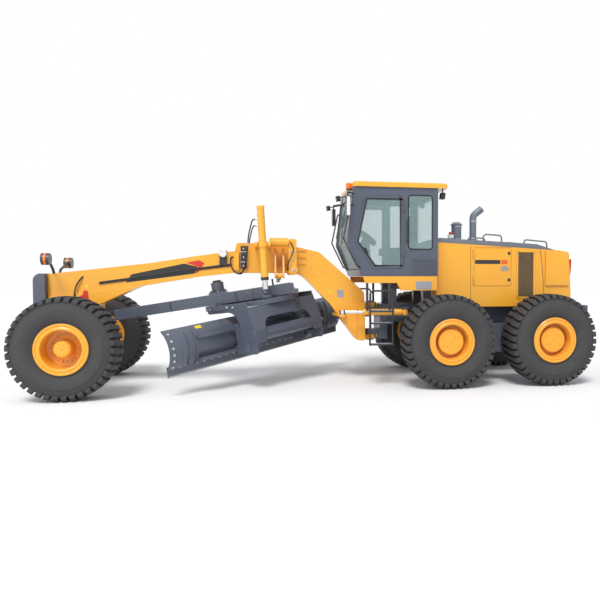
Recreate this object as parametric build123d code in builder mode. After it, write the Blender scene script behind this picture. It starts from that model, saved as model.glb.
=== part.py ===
from build123d import *
from math import cos, radians, sin
import os

os.makedirs("parts", exist_ok=True)

# Motor grader. Millimetres, +X forward, +Y left, +Z up, ground at Z 0, origin under the middle of the box.

# Wheels and axles
TYRE_R = 800
TYRE_HALF_W = 300
WHEEL_Y = 1240
FRONT_AXLE_X = 4135
WHEELBASE = 6100
TANDEM_PITCH = 1850
MID_AXLE_X = FRONT_AXLE_X - WHEELBASE
REAR_AXLE_X = MID_AXLE_X - TANDEM_PITCH
TANDEM_MID_X = (MID_AXLE_X + REAR_AXLE_X) / 2
TYRE_BORE_R = 318
BEAD_HALF_W = 230
RIM_BASE_R = TYRE_BORE_R - 0.3
FLANGE_W = 22
KINGPIN_Y = 850
SPINDLE_R = 60
REAR_SPINDLE_R = 80
RUNNING = 0.05
GAP = 5

# Frames
HITCH_X = -830
HITCH_PIN_R = 50
BEAM_HALF_W = 170
RAIL_Y0 = 300
RAIL_Y1 = 420
RAIL_END_X = -1060
RAIL_Z0 = 1080
RAIL_Z1 = 1400
BODY_END_X = FRONT_AXLE_X + TYRE_R
REAR_BOX_D = 110

# Articulation cylinders, pinned on the rear frame and opened at the rod eye on the front frame
ARTIC_BARREL_PIN = (-1365, 600)
ARTIC_ROD_PIN = (-251, 450)
ARTIC_Z = 1265
ARTIC_BARREL_R = 58
ARTIC_ROD_R = 32
ARTIC_BARREL_LEN = 760
ARTIC_ROD_START = 400

# Front axle
AXLE_PIN_Z = 960
LEAN_CHEEK_X0 = 105
LEAN_CHEEK_X1 = 145
LEAN_BAR_Z = TYRE_R + 260
LEAN_BAR_X0 = 138
LEAN_BAR_X1 = 162
LEAN_EYE_R = 26
LEAN_PIN_R = 16
STEER_ARM = 270
TIE_ROD_Z = TYRE_R - 173

# Drawbar, in its own level frame with the ball at the origin
BALL_X = 3830
BALL_Z = 1205
PITCH = 8.8
DRAWBAR_HALF_H = 90
CIRCLE_BACK = 2510
CIRCLE_DROP = 100
LIFT_BALL_X = -2760
LIFT_Y = 650
LIFT_BALL_R = 45
OPEN_PIN_GAP = 8

# Lift cylinders
LIFT_TOP_X = 1185
LIFT_TOP_Z = 3100
LIFT_LOW_Z = 1835
LIFT_TRUNNION_Z = 2450
LIFT_BARREL_R = 62
LIFT_ROD_R = 45
LIFT_ROD_TOP_Z = LIFT_TOP_Z - 270

# Centre shift cylinder
SHIFT_X = 860
SHIFT_BARREL_PIN = (450, 1914)
SHIFT_ROD_PIN = (-500, 1834)
SHIFT_BARREL_R = 48
SHIFT_ROD_R = 26
SHIFT_BARREL_LEN = 640
SHIFT_ROD_START = 345
SHIFT_EYE_HALF_T = 30
SHIFT_PIN_GAP = 60
SHIFT_LUG_T = 32

# Circle and blade, in the circle frame: X across the blade's face, Y along the blade, Z up from the circle
BLADE_YAW = 48
CIRCLE_R = 840
CIRCLE_INNER_R = 720
CIRCLE_TOP = -8
CIRCLE_BOTTOM = -88
FLANGE_BOTTOM = -32
SHOE_LIP_T = 24
ARM_Y = 790
ARM_T = 30
ARM_BOTTOM = -140
LEG_FRONT = -500
LEG_BACK = -860
LEG_BOTTOM = -870
BACK_BEND_Z = -480
BACK_TOP_X = -715
TILT_X = -600
TILT_Z = -750
TILT_PIN_R = 35
BLADE_X = -75
BLADE_TOP = -235
BLADE_BOTTOM = -970
BLADE_BULGE = 150
BLADE_T = 25
BLADE_HALF_L = 2015
RAIL_TOP_Z = -420
RAIL_LOW_Z = -785
RAIL_BACK = BLADE_X - 234
JAW_BACK = RAIL_BACK - 71
SIDE_SHIFT_X = -440
SIDE_SHIFT_Z = -600
SIDE_SHIFT_ROD_R = 28
SIDE_SHIFT_END_Y = -1290

# Cab and hood
CAB_HALF_W = 800
CAB_WALL = 40
CAB_FLOOR_Z = 1910
CAB_REAR_X = -1915
CAB_TOP_Z = 3460
ROOF_T = 90
ROOF_TOP_Z = CAB_TOP_Z + ROOF_T
PANE_TOP_Z = CAB_TOP_Z - 160
DOOR_TOP_Z = CAB_TOP_Z - 150
SIDE_WINDOW_TOP_Z = CAB_TOP_Z - 139
BROW_Z = CAB_TOP_Z - 172
DOOR_HINGE_X = -1287
HOOD_HALF_W = 620
HOOD_WALL = 20
HOOD_FRONT_X = -1935
HOOD_TOP_FRONT_Z = 2520
HOOD_TOP_REAR_X = -4345
HOOD_TOP_REAR_Z = 2390
HOOD_BOTTOM_Z = 1350
DECK_Z = RAIL_Z1 + 20

DRAWBAR_FRAME = Location((BALL_X, 0, BALL_Z), (0, PITCH, 0))
CIRCLE_FRAME = DRAWBAR_FRAME * Location((-CIRCLE_BACK, 0, -CIRCLE_DROP), (0, 0, -BLADE_YAW))


def box(x0, x1, y0, y1, z0, z1, mode=Mode.ADD):
    """Box between two opposite corners."""
    with Locations(((x0 + x1) / 2, (y0 + y1) / 2, (z0 + z1) / 2)):
        Box(abs(x1 - x0), abs(y1 - y0), abs(z1 - z0), mode=mode)


def bar(start, end, radius, mode=Mode.ADD):
    """Round bar from one point to another."""
    along = Vector(*end) - Vector(*start)
    with Locations(Plane(origin=start, z_dir=along)):
        Cylinder(radius, along.length, align=(Align.CENTER, Align.CENTER, Align.MIN), mode=mode)


def slab(plane, points, depth, mode=Mode.ADD, grow=0):
    """Plate with an outline of (a, b) or (a, b, corner radius) points on a plane."""
    radii = [point[2] if len(point) == 3 else 0 for point in points]
    with BuildSketch(plane) as face:
        with BuildLine():
            FilletPolyline(*[point[:2] for point in points], radius=radii, close=True)
        make_face()
        if grow:
            offset(amount=grow)
    extrude(face.sketch, amount=depth, mode=mode)


def side_slab(points, y0, y1, mode=Mode.ADD, grow=0):
    """Plate with a side-view outline of (x, z) points, from y0 to y1."""
    slab(Plane.XZ.offset(-max(y0, y1)), points, abs(y1 - y0), mode, grow)


def top_slab(points, z0, z1, mode=Mode.ADD):
    """Plate with a plan outline of (x, y) points, from z0 to z1."""
    slab(Plane.XY.offset(z0), points, z1 - z0, mode)


def front_slab(points, x0, x1, mode=Mode.ADD, grow=0):
    """Plate with a front-view outline of (y, z) points, from x0 to x1."""
    slab(Plane.YZ.offset(x0), points, x1 - x0, mode, grow)


def tube(points, radius, bend):
    """Round rail through points with bends of one radius."""
    with BuildPart(mode=Mode.PRIVATE) as rail:
        with BuildLine() as path:
            FilletPolyline(*points, radius=bend)
        with BuildSketch(Plane(origin=path.line @ 0, z_dir=path.line % 0)) as section:
            Circle(radius)
        sweep(section.sketch, path=path.line)
    add(rail.part)


def wheel_place(x, side):
    """Place of a wheel whose outer face looks away from the machine."""
    return Location((x, side * WHEEL_Y, TYRE_R), (0, 0, 0 if side > 0 else 180))


# Tyres, with the axle along Y
with BuildPart() as tyre:
    with BuildSketch(Plane.YZ):
        with BuildLine():
            Line((0, TYRE_BORE_R), (BEAD_HALF_W, TYRE_BORE_R))
            Line((BEAD_HALF_W, TYRE_BORE_R), (BEAD_HALF_W, 395))
            ThreePointArc((BEAD_HALF_W, 395), (TYRE_HALF_W - 0.5, 570), (262, 735))
            Line((262, 735), (240, 785))
            ThreePointArc((240, 785), (125, 796), (0, TYRE_R))
            mirror(about=Plane.YZ)
        make_face()
    revolve(axis=Axis.Y)

# Front rim: deep dish, long hub cap, and a bore for the spindle from the inside
with BuildPart() as front_rim:
    with BuildSketch(Plane.YZ):
        with BuildLine():
            Polyline(
                (-BEAD_HALF_W - FLANGE_W, 389), (-BEAD_HALF_W, 389), (-BEAD_HALF_W, RIM_BASE_R),
                (BEAD_HALF_W, RIM_BASE_R), (BEAD_HALF_W, 389), (BEAD_HALF_W + FLANGE_W, 389),
                (BEAD_HALF_W + FLANGE_W, 294), (-10, 282), (-30, 125), (200, 125), (225, 100), (225, 0),
                (150, 0), (150, SPINDLE_R + RUNNING), (-110, SPINDLE_R + RUNNING), (-110, 120),
                (-60, 120), (-60, 294), (-BEAD_HALF_W - FLANGE_W, 294), close=True,
            )
        make_face()
    revolve(axis=Axis.Y)

# Rear rim: hub nearly flush with the flange inside a dark ring-shaped recess
with BuildPart() as rear_rim:
    with BuildSketch(Plane.YZ):
        with BuildLine():
            Polyline(
                (-BEAD_HALF_W - FLANGE_W, 373), (-BEAD_HALF_W, 373), (-BEAD_HALF_W, RIM_BASE_R),
                (BEAD_HALF_W, RIM_BASE_R), (BEAD_HALF_W, 373), (BEAD_HALF_W + FLANGE_W, 373),
                (BEAD_HALF_W + FLANGE_W, 290), (60, 272), (60, 222), (170, 222), (185, 205), (185, 0),
                (105, 0), (105, REAR_SPINDLE_R + RUNNING), (-280, REAR_SPINDLE_R + RUNNING), (-280, 150),
                (20, 200), (20, 290), (-BEAD_HALF_W - FLANGE_W, 294), close=True,
            )
        make_face()
    revolve(axis=Axis.Y)

WHEELS = (
    # name, x, side, rim
    ("front_left", FRONT_AXLE_X, 1, front_rim),
    ("front_right", FRONT_AXLE_X, -1, front_rim),
    ("middle_left", MID_AXLE_X, 1, rear_rim),
    ("middle_right", MID_AXLE_X, -1, rear_rim),
    ("rear_left", REAR_AXLE_X, 1, rear_rim),
    ("rear_right", REAR_AXLE_X, -1, rear_rim),
)
for name, x, side, rim in WHEELS:
    placed_tyre = tyre.part.moved(wheel_place(x, side))
    placed_tyre.label = f"tyre_{name}"
    export_step(placed_tyre, f"parts/tyre_{name}.step")
    placed_rim = rim.part.moved(wheel_place(x, side))
    placed_rim.label = f"rim_{name}"
    export_step(placed_rim, f"parts/rim_{name}.step")

# Rear frame: rails, hitch column with its lugs and pins, engine deck, rear box and tow lug
HITCH_LUG_R = 110
with BuildPart() as rear_frame:
    for side in (1, -1):
        box(-BODY_END_X + 50, RAIL_END_X, side * RAIL_Y0, side * RAIL_Y1, RAIL_Z0, RAIL_Z1)
        for x0, x1 in ((-1900, -1750), (-1250, -1130)):
            box(x0, x1, side * RAIL_Y0, side * RAIL_Y1, RAIL_Z1, CAB_FLOOR_Z)
        box(TANDEM_MID_X - 150, TANDEM_MID_X + 150, side * 250, side * RAIL_Y1, 970, RAIL_Z0)
        for z0, z1 in ((ARTIC_Z - 85, ARTIC_Z - 60), (ARTIC_Z + 60, ARTIC_Z + 85)):
            x, y = ARTIC_BARREL_PIN
            box(x - 65, x + 60, side * RAIL_Y1, side * (y + 60), z0, z1)
        bar((x, side * y, ARTIC_Z - 85), (x, side * y, ARTIC_Z + 85), 30)
    box(-1100, -960, -RAIL_Y0, RAIL_Y0, 760, RAIL_Z1)
    box(-1100, -1000, -RAIL_Y1 + 40, RAIL_Y1 - 40, RAIL_Z0, RAIL_Z1)
    for z0, z1, pin_end, cap_end in ((1240, 1334, 1436, 1452), (836, 930, 734, 718)):
        box(-960, HITCH_X, -HITCH_LUG_R, HITCH_LUG_R, z0, z1)
        bar((HITCH_X, 0, z0), (HITCH_X, 0, z1), HITCH_LUG_R)
        bar((HITCH_X, 0, (z0 + z1) / 2), (HITCH_X, 0, pin_end), HITCH_PIN_R)
        bar((HITCH_X, 0, pin_end), (HITCH_X, 0, cap_end), HITCH_PIN_R + 25)
    for x in (-1600, -4400):
        box(x, x + 120, -RAIL_Y0, RAIL_Y0, RAIL_Z0 + 20, RAIL_Z1 - 20)
    box(-4545, HOOD_FRONT_X - HOOD_WALL, -HOOD_HALF_W + HOOD_WALL, HOOD_HALF_W - HOOD_WALL, RAIL_Z1, DECK_Z)
    side_slab(
        [(-BODY_END_X, 1080, 25), (-BODY_END_X, 1360, 25), (-BODY_END_X + REAR_BOX_D, 1360),
         (-BODY_END_X + REAR_BOX_D, 1080)], -600, 600,
    )
    box(-BODY_END_X + 10, -BODY_END_X + 240, -90, 90, 1010, 1050)
    box(-BODY_END_X + 150, -BODY_END_X + 240, -300, 300, 1050, 1120)
    with Locations((-BODY_END_X + 65, 0, 1030)):
        Cylinder(27, 60, mode=Mode.SUBTRACT)
rear_frame.part.label = "rear_frame"
export_step(rear_frame.part, "parts/rear_frame.step")

# Tandem drive: axle housing and the two chain cases with the wheel spindles
with BuildPart() as tandem_drive:
    box(TANDEM_MID_X - 150, TANDEM_MID_X + 150, -645, 645, 650, 970)
    for side in (1, -1):
        side_slab(
            [(MID_AXLE_X + 350, 550, 245), (MID_AXLE_X + 350, 1050, 245),
             (REAR_AXLE_X - 350, 1050, 245), (REAR_AXLE_X - 350, 550, 245)], side * 640, side * 930,
        )
        for x in (MID_AXLE_X, REAR_AXLE_X):
            bar((x, side * 925, TYRE_R), (x, side * (WHEEL_Y + 100), TYRE_R), REAR_SPINDLE_R)
tandem_drive.part.label = "tandem_drive"
export_step(tandem_drive.part, "parts/tandem_drive.step")

with BuildPart() as engine:
    box(-4300, -2300, -400, 400, DECK_Z, 2200)
engine.part.label = "engine"
export_step(engine.part, "parts/engine.step")

# Hood: a thin shell open below, with a door opening on each side, a grille and vents
HOOD_OUTLINE = [
    (HOOD_FRONT_X, HOOD_BOTTOM_Z), (HOOD_FRONT_X, HOOD_TOP_FRONT_Z), (HOOD_TOP_REAR_X, HOOD_TOP_REAR_Z),
    (-4525, 2360, 60), (-4571, 1520), (-4571, HOOD_BOTTOM_Z),
]
HOOD_INSIDE = [
    (HOOD_FRONT_X - HOOD_WALL, HOOD_BOTTOM_Z - 10), (HOOD_FRONT_X - HOOD_WALL, HOOD_TOP_FRONT_Z - 21),
    (HOOD_TOP_REAR_X, HOOD_TOP_REAR_Z - HOOD_WALL), (-4508, 2342, 50), (-4551, 1520),
    (-4551, HOOD_BOTTOM_Z - 10),
]
SERVICE_X0, SERVICE_X1 = -3374, -2650
SERVICE_Z0, SERVICE_Z1 = 1726, 2440
HINGE_R = 14
SERVICE_HINGE = (SERVICE_X1 + 12, HOOD_HALF_W + HINGE_R + 5)
HINGE_PIN_R = 6


def hinge_fixed(x, y, z, side, inner, sense):
    """Two hinge eyes and their pin, joined to the wall at y inner."""
    for z0 in (z - 70, z + 30):
        bar((x, side * y, z0), (x, side * y, z0 + 40), HINGE_R)
        box(x, x + sense * 8, side * inner, side * y, z0, z0 + 40)
    bar((x, side * y, z - 70), (x, side * y, z + 70), HINGE_PIN_R)


def hinge_moving(x, y, z, side, inner, sense):
    """The hinge eye between the two fixed ones, with a leaf to a panel whose face is at y inner."""
    bar((x, side * y, z - 26), (x, side * y, z + 26), HINGE_R)
    box(x, x + sense * (HINGE_R + 26), side * (inner + 3), side * y, z - 26, z + 26)
    box(x + sense * (HINGE_R + 10), x + sense * (HINGE_R + 26), side * (inner - 3), side * (inner + 4),
        z - 26, z + 26)
    bar((x, side * y, z - 40), (x, side * y, z + 40), HINGE_PIN_R + RUNNING, mode=Mode.SUBTRACT)


with BuildPart() as hood:
    side_slab(HOOD_OUTLINE, -HOOD_HALF_W, HOOD_HALF_W)
    side_slab(HOOD_INSIDE, -HOOD_HALF_W + HOOD_WALL, HOOD_HALF_W - HOOD_WALL, Mode.SUBTRACT)
    box(-4600, HOOD_FRONT_X + 10, -RAIL_Y1 - 10, RAIL_Y1 + 10, HOOD_BOTTOM_Z - 10, RAIL_Z1, Mode.SUBTRACT)
    box(SERVICE_X0, SERVICE_X1, -HOOD_HALF_W - 10, HOOD_HALF_W + 10, SERVICE_Z0, SERVICE_Z1, Mode.SUBTRACT)
    for side in (1, -1):
        side_slab(
            [(-4045, 1740), (-4045, 2390), (-4480, 2365), (-4510, 1740)],
            side * (HOOD_HALF_W - HOOD_WALL), side * (HOOD_HALF_W + 35),
        )
        for z in (SERVICE_Z0 + 120, SERVICE_Z1 - 120):
            hinge_fixed(*SERVICE_HINGE, z, side, HOOD_HALF_W - 2, 1)
hood.part.label = "hood"
export_step(hood.part, "parts/hood.step")

for name, side in (("left", 1), ("right", -1)):
    with BuildPart() as service_door:
        box(SERVICE_X0 + GAP, SERVICE_X1 - GAP, side * (HOOD_HALF_W - HOOD_WALL), side * HOOD_HALF_W,
            SERVICE_Z0 + GAP, SERVICE_Z1 - GAP)
        for z in (SERVICE_Z0 + 120, SERVICE_Z1 - 120):
            hinge_moving(*SERVICE_HINGE, z, side, HOOD_HALF_W, -1)
        box(SERVICE_X0 + 50, SERVICE_X0 + 90, side * (HOOD_HALF_W - 2), side * (HOOD_HALF_W + 14), 2060, 2120)
    service_door.part.label = f"service_door_{name}"
    export_step(service_door.part, f"parts/service_door_{name}.step")

# Hood top: raised centre cover on the hood
TOP_SLOPE = (HOOD_TOP_FRONT_Z - HOOD_TOP_REAR_Z) / (HOOD_FRONT_X - HOOD_TOP_REAR_X)


def hood_top_z(x):
    """Height of the hood's sloping top at x."""
    return HOOD_TOP_FRONT_Z - (HOOD_FRONT_X - x) * TOP_SLOPE


HOOD_TOP_OUTLINE = [
    (-1960, hood_top_z(-1960)), (-2000, 2606, 30), (-3900, 2510, 60), (-4300, hood_top_z(-4300)),
]
HOOD_TOP_HALF_W = 560
with BuildPart() as hood_top:
    side_slab(HOOD_TOP_OUTLINE, -HOOD_TOP_HALF_W, HOOD_TOP_HALF_W)
    for side in (1, -1):
        tube([(-2900, side * 430, 2530), (-2900, side * 430, 2690), (-3260, side * 430, 2670),
              (-3260, side * 430, 2500)], 14, 60)
hood_top.part.label = "hood_top"
export_step(hood_top.part, "parts/hood_top.step")

# Stacks on the hood top: exhaust, air intake and filler bottle
with BuildPart() as stacks:
    with BuildLine() as exhaust_path:
        FilletPolyline((-2803, 130, 2540), (-2803, 130, 3060), (-2972, 130, 3190), radius=110)
    with BuildSketch(Plane(origin=exhaust_path.line @ 0, z_dir=exhaust_path.line % 0)):
        Circle(66)
    sweep(path=exhaust_path.line)
    bar((-2803, 130, 2540), (-2803, 130, 2610), 90)
    bar((-2475, 130, 2560), (-2475, 130, 2880), 95)
    with Locations((-2475, 130, 2880)):
        Cone(125, 60, 50, align=(Align.CENTER, Align.CENTER, Align.MIN))
    bar((-2300, 330, 2570), (-2300, 330, 2680), 55)
    bar((-2300, 330, 2680), (-2300, 330, 2730), 30)
    side_slab(HOOD_TOP_OUTLINE, -HOOD_TOP_HALF_W, HOOD_TOP_HALF_W, Mode.SUBTRACT)
stacks.part.label = "stacks"
export_step(stacks.part, "parts/stacks.step")

# Cab: shell with window and door openings
CAB_OUTLINE = [
    (-530, CAB_FLOOR_Z), (-511, 1978), (-284, 2496, 60), (-372, BROW_Z), (-390, CAB_TOP_Z),
    (CAB_REAR_X, CAB_TOP_Z), (CAB_REAR_X, CAB_FLOOR_Z),
]
CAB_INSIDE = [
    (-575, CAB_FLOOR_Z + CAB_WALL), (-555, 1990), (-330, 2496, 50), (-415, BROW_Z), (-430, CAB_TOP_Z - 60),
    (CAB_REAR_X + CAB_WALL, CAB_TOP_Z - 60), (CAB_REAR_X + CAB_WALL, CAB_FLOOR_Z + CAB_WALL),
]
DOOR_OPENING = [
    (-1290, 2040, 40), (-1290, DOOR_TOP_Z, 50), (-582, DOOR_TOP_Z, 60), (-415, 2488, 80), (-752, 2030, 60),
]
SIDE_WINDOW = [
    (-1804, 2388, 50), (-1804, SIDE_WINDOW_TOP_Z, 50), (-1383, SIDE_WINDOW_TOP_Z, 50), (-1383, 2388, 50),
]
REAR_WINDOW = [(-620, 2560, 50), (-620, PANE_TOP_Z, 50), (620, PANE_TOP_Z, 50), (620, 2560, 50)]
DOOR_HINGE = (DOOR_HINGE_X - 14, CAB_HALF_W + HINGE_R + 5)
DOOR_HINGE_Z = (2300, CAB_TOP_Z - 360)
CAB_IN_Y = CAB_HALF_W - CAB_WALL
GLASS_T = 8
SEAL = 18

with BuildPart() as cab_frame:
    side_slab(CAB_OUTLINE, -CAB_HALF_W, CAB_HALF_W)
    side_slab(CAB_INSIDE, -CAB_IN_Y, CAB_IN_Y, Mode.SUBTRACT)
    side_slab(DOOR_OPENING, -CAB_HALF_W - 10, CAB_HALF_W + 10, Mode.SUBTRACT)
    side_slab(SIDE_WINDOW, -CAB_HALF_W - 10, CAB_HALF_W + 10, Mode.SUBTRACT)
    for side in (1, -1):
        side_slab(SIDE_WINDOW, side * (CAB_HALF_W - GLASS_T), side * (CAB_HALF_W + 10), Mode.SUBTRACT, SEAL)
        for z in DOOR_HINGE_Z:
            hinge_fixed(*DOOR_HINGE, z, side, CAB_HALF_W - 3, -1)
    front_slab(REAR_WINDOW, CAB_REAR_X - 10, CAB_REAR_X + CAB_WALL + 10, Mode.SUBTRACT)
    front_slab(REAR_WINDOW, CAB_REAR_X - 10, CAB_REAR_X + GLASS_T, Mode.SUBTRACT, SEAL)
    side_slab(
        [(-600, 2020), (-480, 2020), (-200, 2496), (-300, PANE_TOP_Z), (-450, PANE_TOP_Z), (-360, 2496)],
        -CAB_IN_Y + 20, CAB_IN_Y - 20, Mode.SUBTRACT,
    )
cab_frame.part.label = "cab_frame"
export_step(cab_frame.part, "parts/cab_frame.step")

with BuildPart() as cab_glass:
    for side in (1, -1):
        side_slab(SIDE_WINDOW, side * (CAB_HALF_W - GLASS_T), side * CAB_HALF_W, Mode.ADD, SEAL - 1)
    front_slab(REAR_WINDOW, CAB_REAR_X, CAB_REAR_X + GLASS_T, Mode.ADD, SEAL - 1)
    for pane in ([(-310, 2500), (-318, 2500), (-404, PANE_TOP_Z), (-396, PANE_TOP_Z)],
                 [(-521, 2020), (-529, 2020), (-318, 2500), (-310, 2500)]):
        side_slab(pane, -CAB_IN_Y + 20, CAB_IN_Y - 20)
cab_glass.part.label = "cab_glass"
export_step(cab_glass.part, "parts/cab_glass.step")

DOOR_EDGE = 70
DOOR_T = 34
for name, side in (("left", 1), ("right", -1)):
    with BuildPart() as door:
        side_slab(DOOR_OPENING, side * (CAB_HALF_W - DOOR_T), side * CAB_HALF_W, Mode.ADD, -GAP)
        side_slab(DOOR_OPENING, side * (CAB_HALF_W - 60), side * (CAB_HALF_W + 10), Mode.SUBTRACT, -DOOR_EDGE)
        side_slab(DOOR_OPENING, side * (CAB_HALF_W - GLASS_T), side * (CAB_HALF_W + 10), Mode.SUBTRACT,
                  -DOOR_EDGE + SEAL)
        for z in DOOR_HINGE_Z:
            hinge_moving(*DOOR_HINGE, z, side, CAB_HALF_W, 1)
    door.part.label = f"door_{name}"
    export_step(door.part, f"parts/door_{name}.step")
    with BuildPart() as door_glass:
        side_slab(DOOR_OPENING, side * (CAB_HALF_W - GLASS_T), side * CAB_HALF_W, Mode.ADD,
                  -DOOR_EDGE + SEAL - 1)
    door_glass.part.label = f"door_{name}_glass"
    export_step(door_glass.part, f"parts/door_{name}_glass.step")

with BuildPart() as cab_roof:
    box(-2095, -390, -830, 830, CAB_TOP_Z, ROOF_TOP_Z)
    fillet(cab_roof.edges().filter_by(Axis.Z), 80)
    fillet(cab_roof.faces().sort_by(Axis.Z)[-1].edges(), 35)
cab_roof.part.label = "cab_roof"
export_step(cab_roof.part, "parts/cab_roof.step")

# Cab skirt below the floor: side panels that carry the cab on the frame posts
SKIRT_OUTLINE = [
    (-565, 1905), (-600, 1787), (-1170, 1787), (-1242, 1654), (-1900, 1654), (-1900, 1905),
]
with BuildPart() as cab_skirt:
    for side in (1, -1):
        side_slab(SKIRT_OUTLINE, side * (CAB_HALF_W - 30), side * CAB_HALF_W)
        for x0, x1 in ((-1900, -1750), (-1250, -1130)):
            box(x0, x1, side * RAIL_Y1, side * (CAB_HALF_W - 30), 1800, 1905)
    box(-1900, -600, -CAB_HALF_W, CAB_HALF_W, 1895, 1905)
    for side in (1, -1):
        for x0, x1 in ((-1900, -1750), (-1250, -1130)):
            box(x0, x1, side * RAIL_Y0, side * RAIL_Y1, 1890, 1910, Mode.SUBTRACT)
cab_skirt.part.label = "cab_skirt"
export_step(cab_skirt.part, "parts/cab_skirt.step")

# Seat, steering column and console inside the cab
FLOOR_TOP = CAB_FLOOR_Z + CAB_WALL
with BuildPart() as cab_interior:
    box(-1500, -1150, -180, 180, FLOOR_TOP, FLOOR_TOP + 350)
    box(-1580, -1050, -260, 260, FLOOR_TOP + 350, FLOOR_TOP + 480)
    side_slab([(-1580, 2400, 30), (-1680, 3050, 50), (-1580, 3070, 50), (-1440, 2400, 30)], -250, 250)
    side_slab([(-700, FLOOR_TOP), (-560, FLOOR_TOP + 320), (-700, 2620, 40), (-800, 2600, 40),
               (-850, FLOOR_TOP)], -110, 110)
    bar((-760, 0, 2600), (-800, 0, 2650), 200)
cab_interior.part.label = "cab_interior"
export_step(cab_interior.part, "parts/cab_interior.step")

# Ladders, hand rails and their hangers under the cab skirt
LADDER_X0, LADDER_X1 = -1040, -640
LADDER_Y = 1070
with BuildPart() as steps_and_rails:
    for side in (1, -1):
        box(LADDER_X0 - 15, LADDER_X1 + 15, side * 765, side * (LADDER_Y + 50), 1290, 1315)
        for x in (LADDER_X0, LADDER_X1):
            box(x - 20, x + 20, side * 770, side * 800, 1300, 1788)
            bar((x, side * (LADDER_Y - 10), 720), (x, side * (LADDER_Y - 10), 1300), 16)
        tube([(LADDER_X0, side * LADDER_Y, 1300), (LADDER_X0, side * LADDER_Y, 1655),
              (LADDER_X1, side * LADDER_Y, 1655), (LADDER_X1, side * LADDER_Y, 1300)], 16, 70)
        for z in (740, 1100):
            box(LADDER_X0, LADDER_X1, side * (LADDER_Y - 70), side * (LADDER_Y + 50), z - 12, z + 12)
        tube([(-395, side * 790, 3150), (-330, side * 850, 3120), (-215, side * 850, 2560),
              (-450, side * 850, 2080), (-520, side * 790, 2060)], 14, 40)
steps_and_rails.part.label = "steps_and_rails"
export_step(steps_and_rails.part, "parts/steps_and_rails.step")

# Mirrors on arms at the cab's front corners, roof beacon and work lamps
with BuildPart() as mirrors_and_lamps:
    for side in (1, -1):
        box(-300, -240, side * 920, side * 1080, 2920, 3250)
        bar((-270, side * 1000, 3240), (-270, side * 1000, 3330), 14)
        bar((-400, side * 790, 3330), (-270, side * 1006, 3330), 14)
    bar((-430, 560, ROOF_TOP_Z - 80), (-350, 560, ROOF_TOP_Z - 80), 20)
    bar((-350, 560, ROOF_TOP_Z - 130), (-350, 560, ROOF_TOP_Z - 8), 45)
mirrors_and_lamps.part.label = "mirrors_and_lamps"
export_step(mirrors_and_lamps.part, "parts/mirrors_and_lamps.step")

# Front frame: box beam, gooseneck with hitch lugs, bolster, axle pin brackets and ball cheeks
BEAM_OUTLINE = [
    (4725, 1940), (3075, 2134), (2235, 2269), (1635, 2353), (535, 2433, 200), (140, 2346, 200),
    (-336, 1929, 150), (-690, 1616, 100), (-700, 1450), (-700, 720), (-620, 720, 40), (-539, 740, 60),
    (-77, 1381, 400), (485, 1965, 400), (1685, 1963), (2235, 1901), (3225, 1736), (4720, 1503),
]
BOLSTER_OUTLINE = [(4725, 1520), (4685, 1450, 40), (4300, 1430), (3895, 1430, 60), (3225, 1736), (4700, 1560)]
AXLE_PLATE = [(-200, 1460), (-90, 900, 60), (90, 900, 60), (200, 1460)]
with BuildPart() as front_frame:
    side_slab(BEAM_OUTLINE, -BEAM_HALF_W, BEAM_HALF_W)
    side_slab(BOLSTER_OUTLINE, -BEAM_HALF_W - 30, BEAM_HALF_W + 30)
    box(-700, -560, -240, 240, 740, 1430)
    for z0, z1 in ((1340, 1430), (740, 830)):
        top_slab([(-640, -240), (-640, 240), (HITCH_X, 115), (HITCH_X, -115)], z0, z1)
        bar((HITCH_X, 0, z0), (HITCH_X, 0, z1), 115)
        bar((HITCH_X, 0, z0 - 5), (HITCH_X, 0, z1 + 5), HITCH_PIN_R + RUNNING, mode=Mode.SUBTRACT)
    for side in (1, -1):
        x, y = ARTIC_ROD_PIN
        top_slab([(x - 120, side * 100), (x + 120, side * 100), (x + 60, side * (y + 50), 40),
                  (x - 60, side * (y + 50), 40)],
                 ARTIC_Z - 40 - OPEN_PIN_GAP - 32, ARTIC_Z - 40 - OPEN_PIN_GAP)
    for x0 in (FRONT_AXLE_X - 240, FRONT_AXLE_X + 200):
        front_slab(AXLE_PLATE, x0, x0 + 40)
    bar((FRONT_AXLE_X - 250, 0, AXLE_PIN_Z), (FRONT_AXLE_X + 250, 0, AXLE_PIN_Z), 40)
    for side in (1, -1):
        side_slab([(FRONT_AXLE_X - 235, BALL_Z - 60), (FRONT_AXLE_X - 235, BALL_Z + 70),
                   (BALL_X - 45, BALL_Z + 45, 44), (BALL_X - 45, BALL_Z - 45, 44)], side * 55, side * 90)
    bar((BALL_X, -120, BALL_Z), (BALL_X, 120, BALL_Z), 25 + RUNNING, mode=Mode.SUBTRACT)
front_frame.part.label = "front_frame"
export_step(front_frame.part, "parts/front_frame.step")

BLOCK_X0, BLOCK_X1 = 4725, 4910
with BuildPart() as front_block:
    side_slab([(BLOCK_X0, 1100, 30), (BLOCK_X0, 1950), (BLOCK_X1, 1950, 120), (BLOCK_X1, 1100, 60)],
              -300, 300)
    with BuildSketch(Plane.YZ.offset(BLOCK_X1)):
        with Locations((0, 1500)):
            with GridLocations(400, 500, 2, 2):
                Circle(13)
    extrude(amount=-60, mode=Mode.SUBTRACT)
front_block.part.label = "front_block"
export_step(front_block.part, "parts/front_block.step")

# Saddle over the beam: yoke plates for the lift cylinders and the centre shift bracket
LIFT_AXIS = (Vector(LIFT_TOP_X, 0, LIFT_TOP_Z)
             - (DRAWBAR_FRAME * Location((LIFT_BALL_X, 0, 0))).position).normalized()


def on_lift_axis(z):
    """Point at a height on the left lift cylinder's centre line."""
    return Vector(LIFT_TOP_X, LIFT_Y, LIFT_TOP_Z) - LIFT_AXIS * ((LIFT_TOP_Z - z) / LIFT_AXIS.Z)


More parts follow.
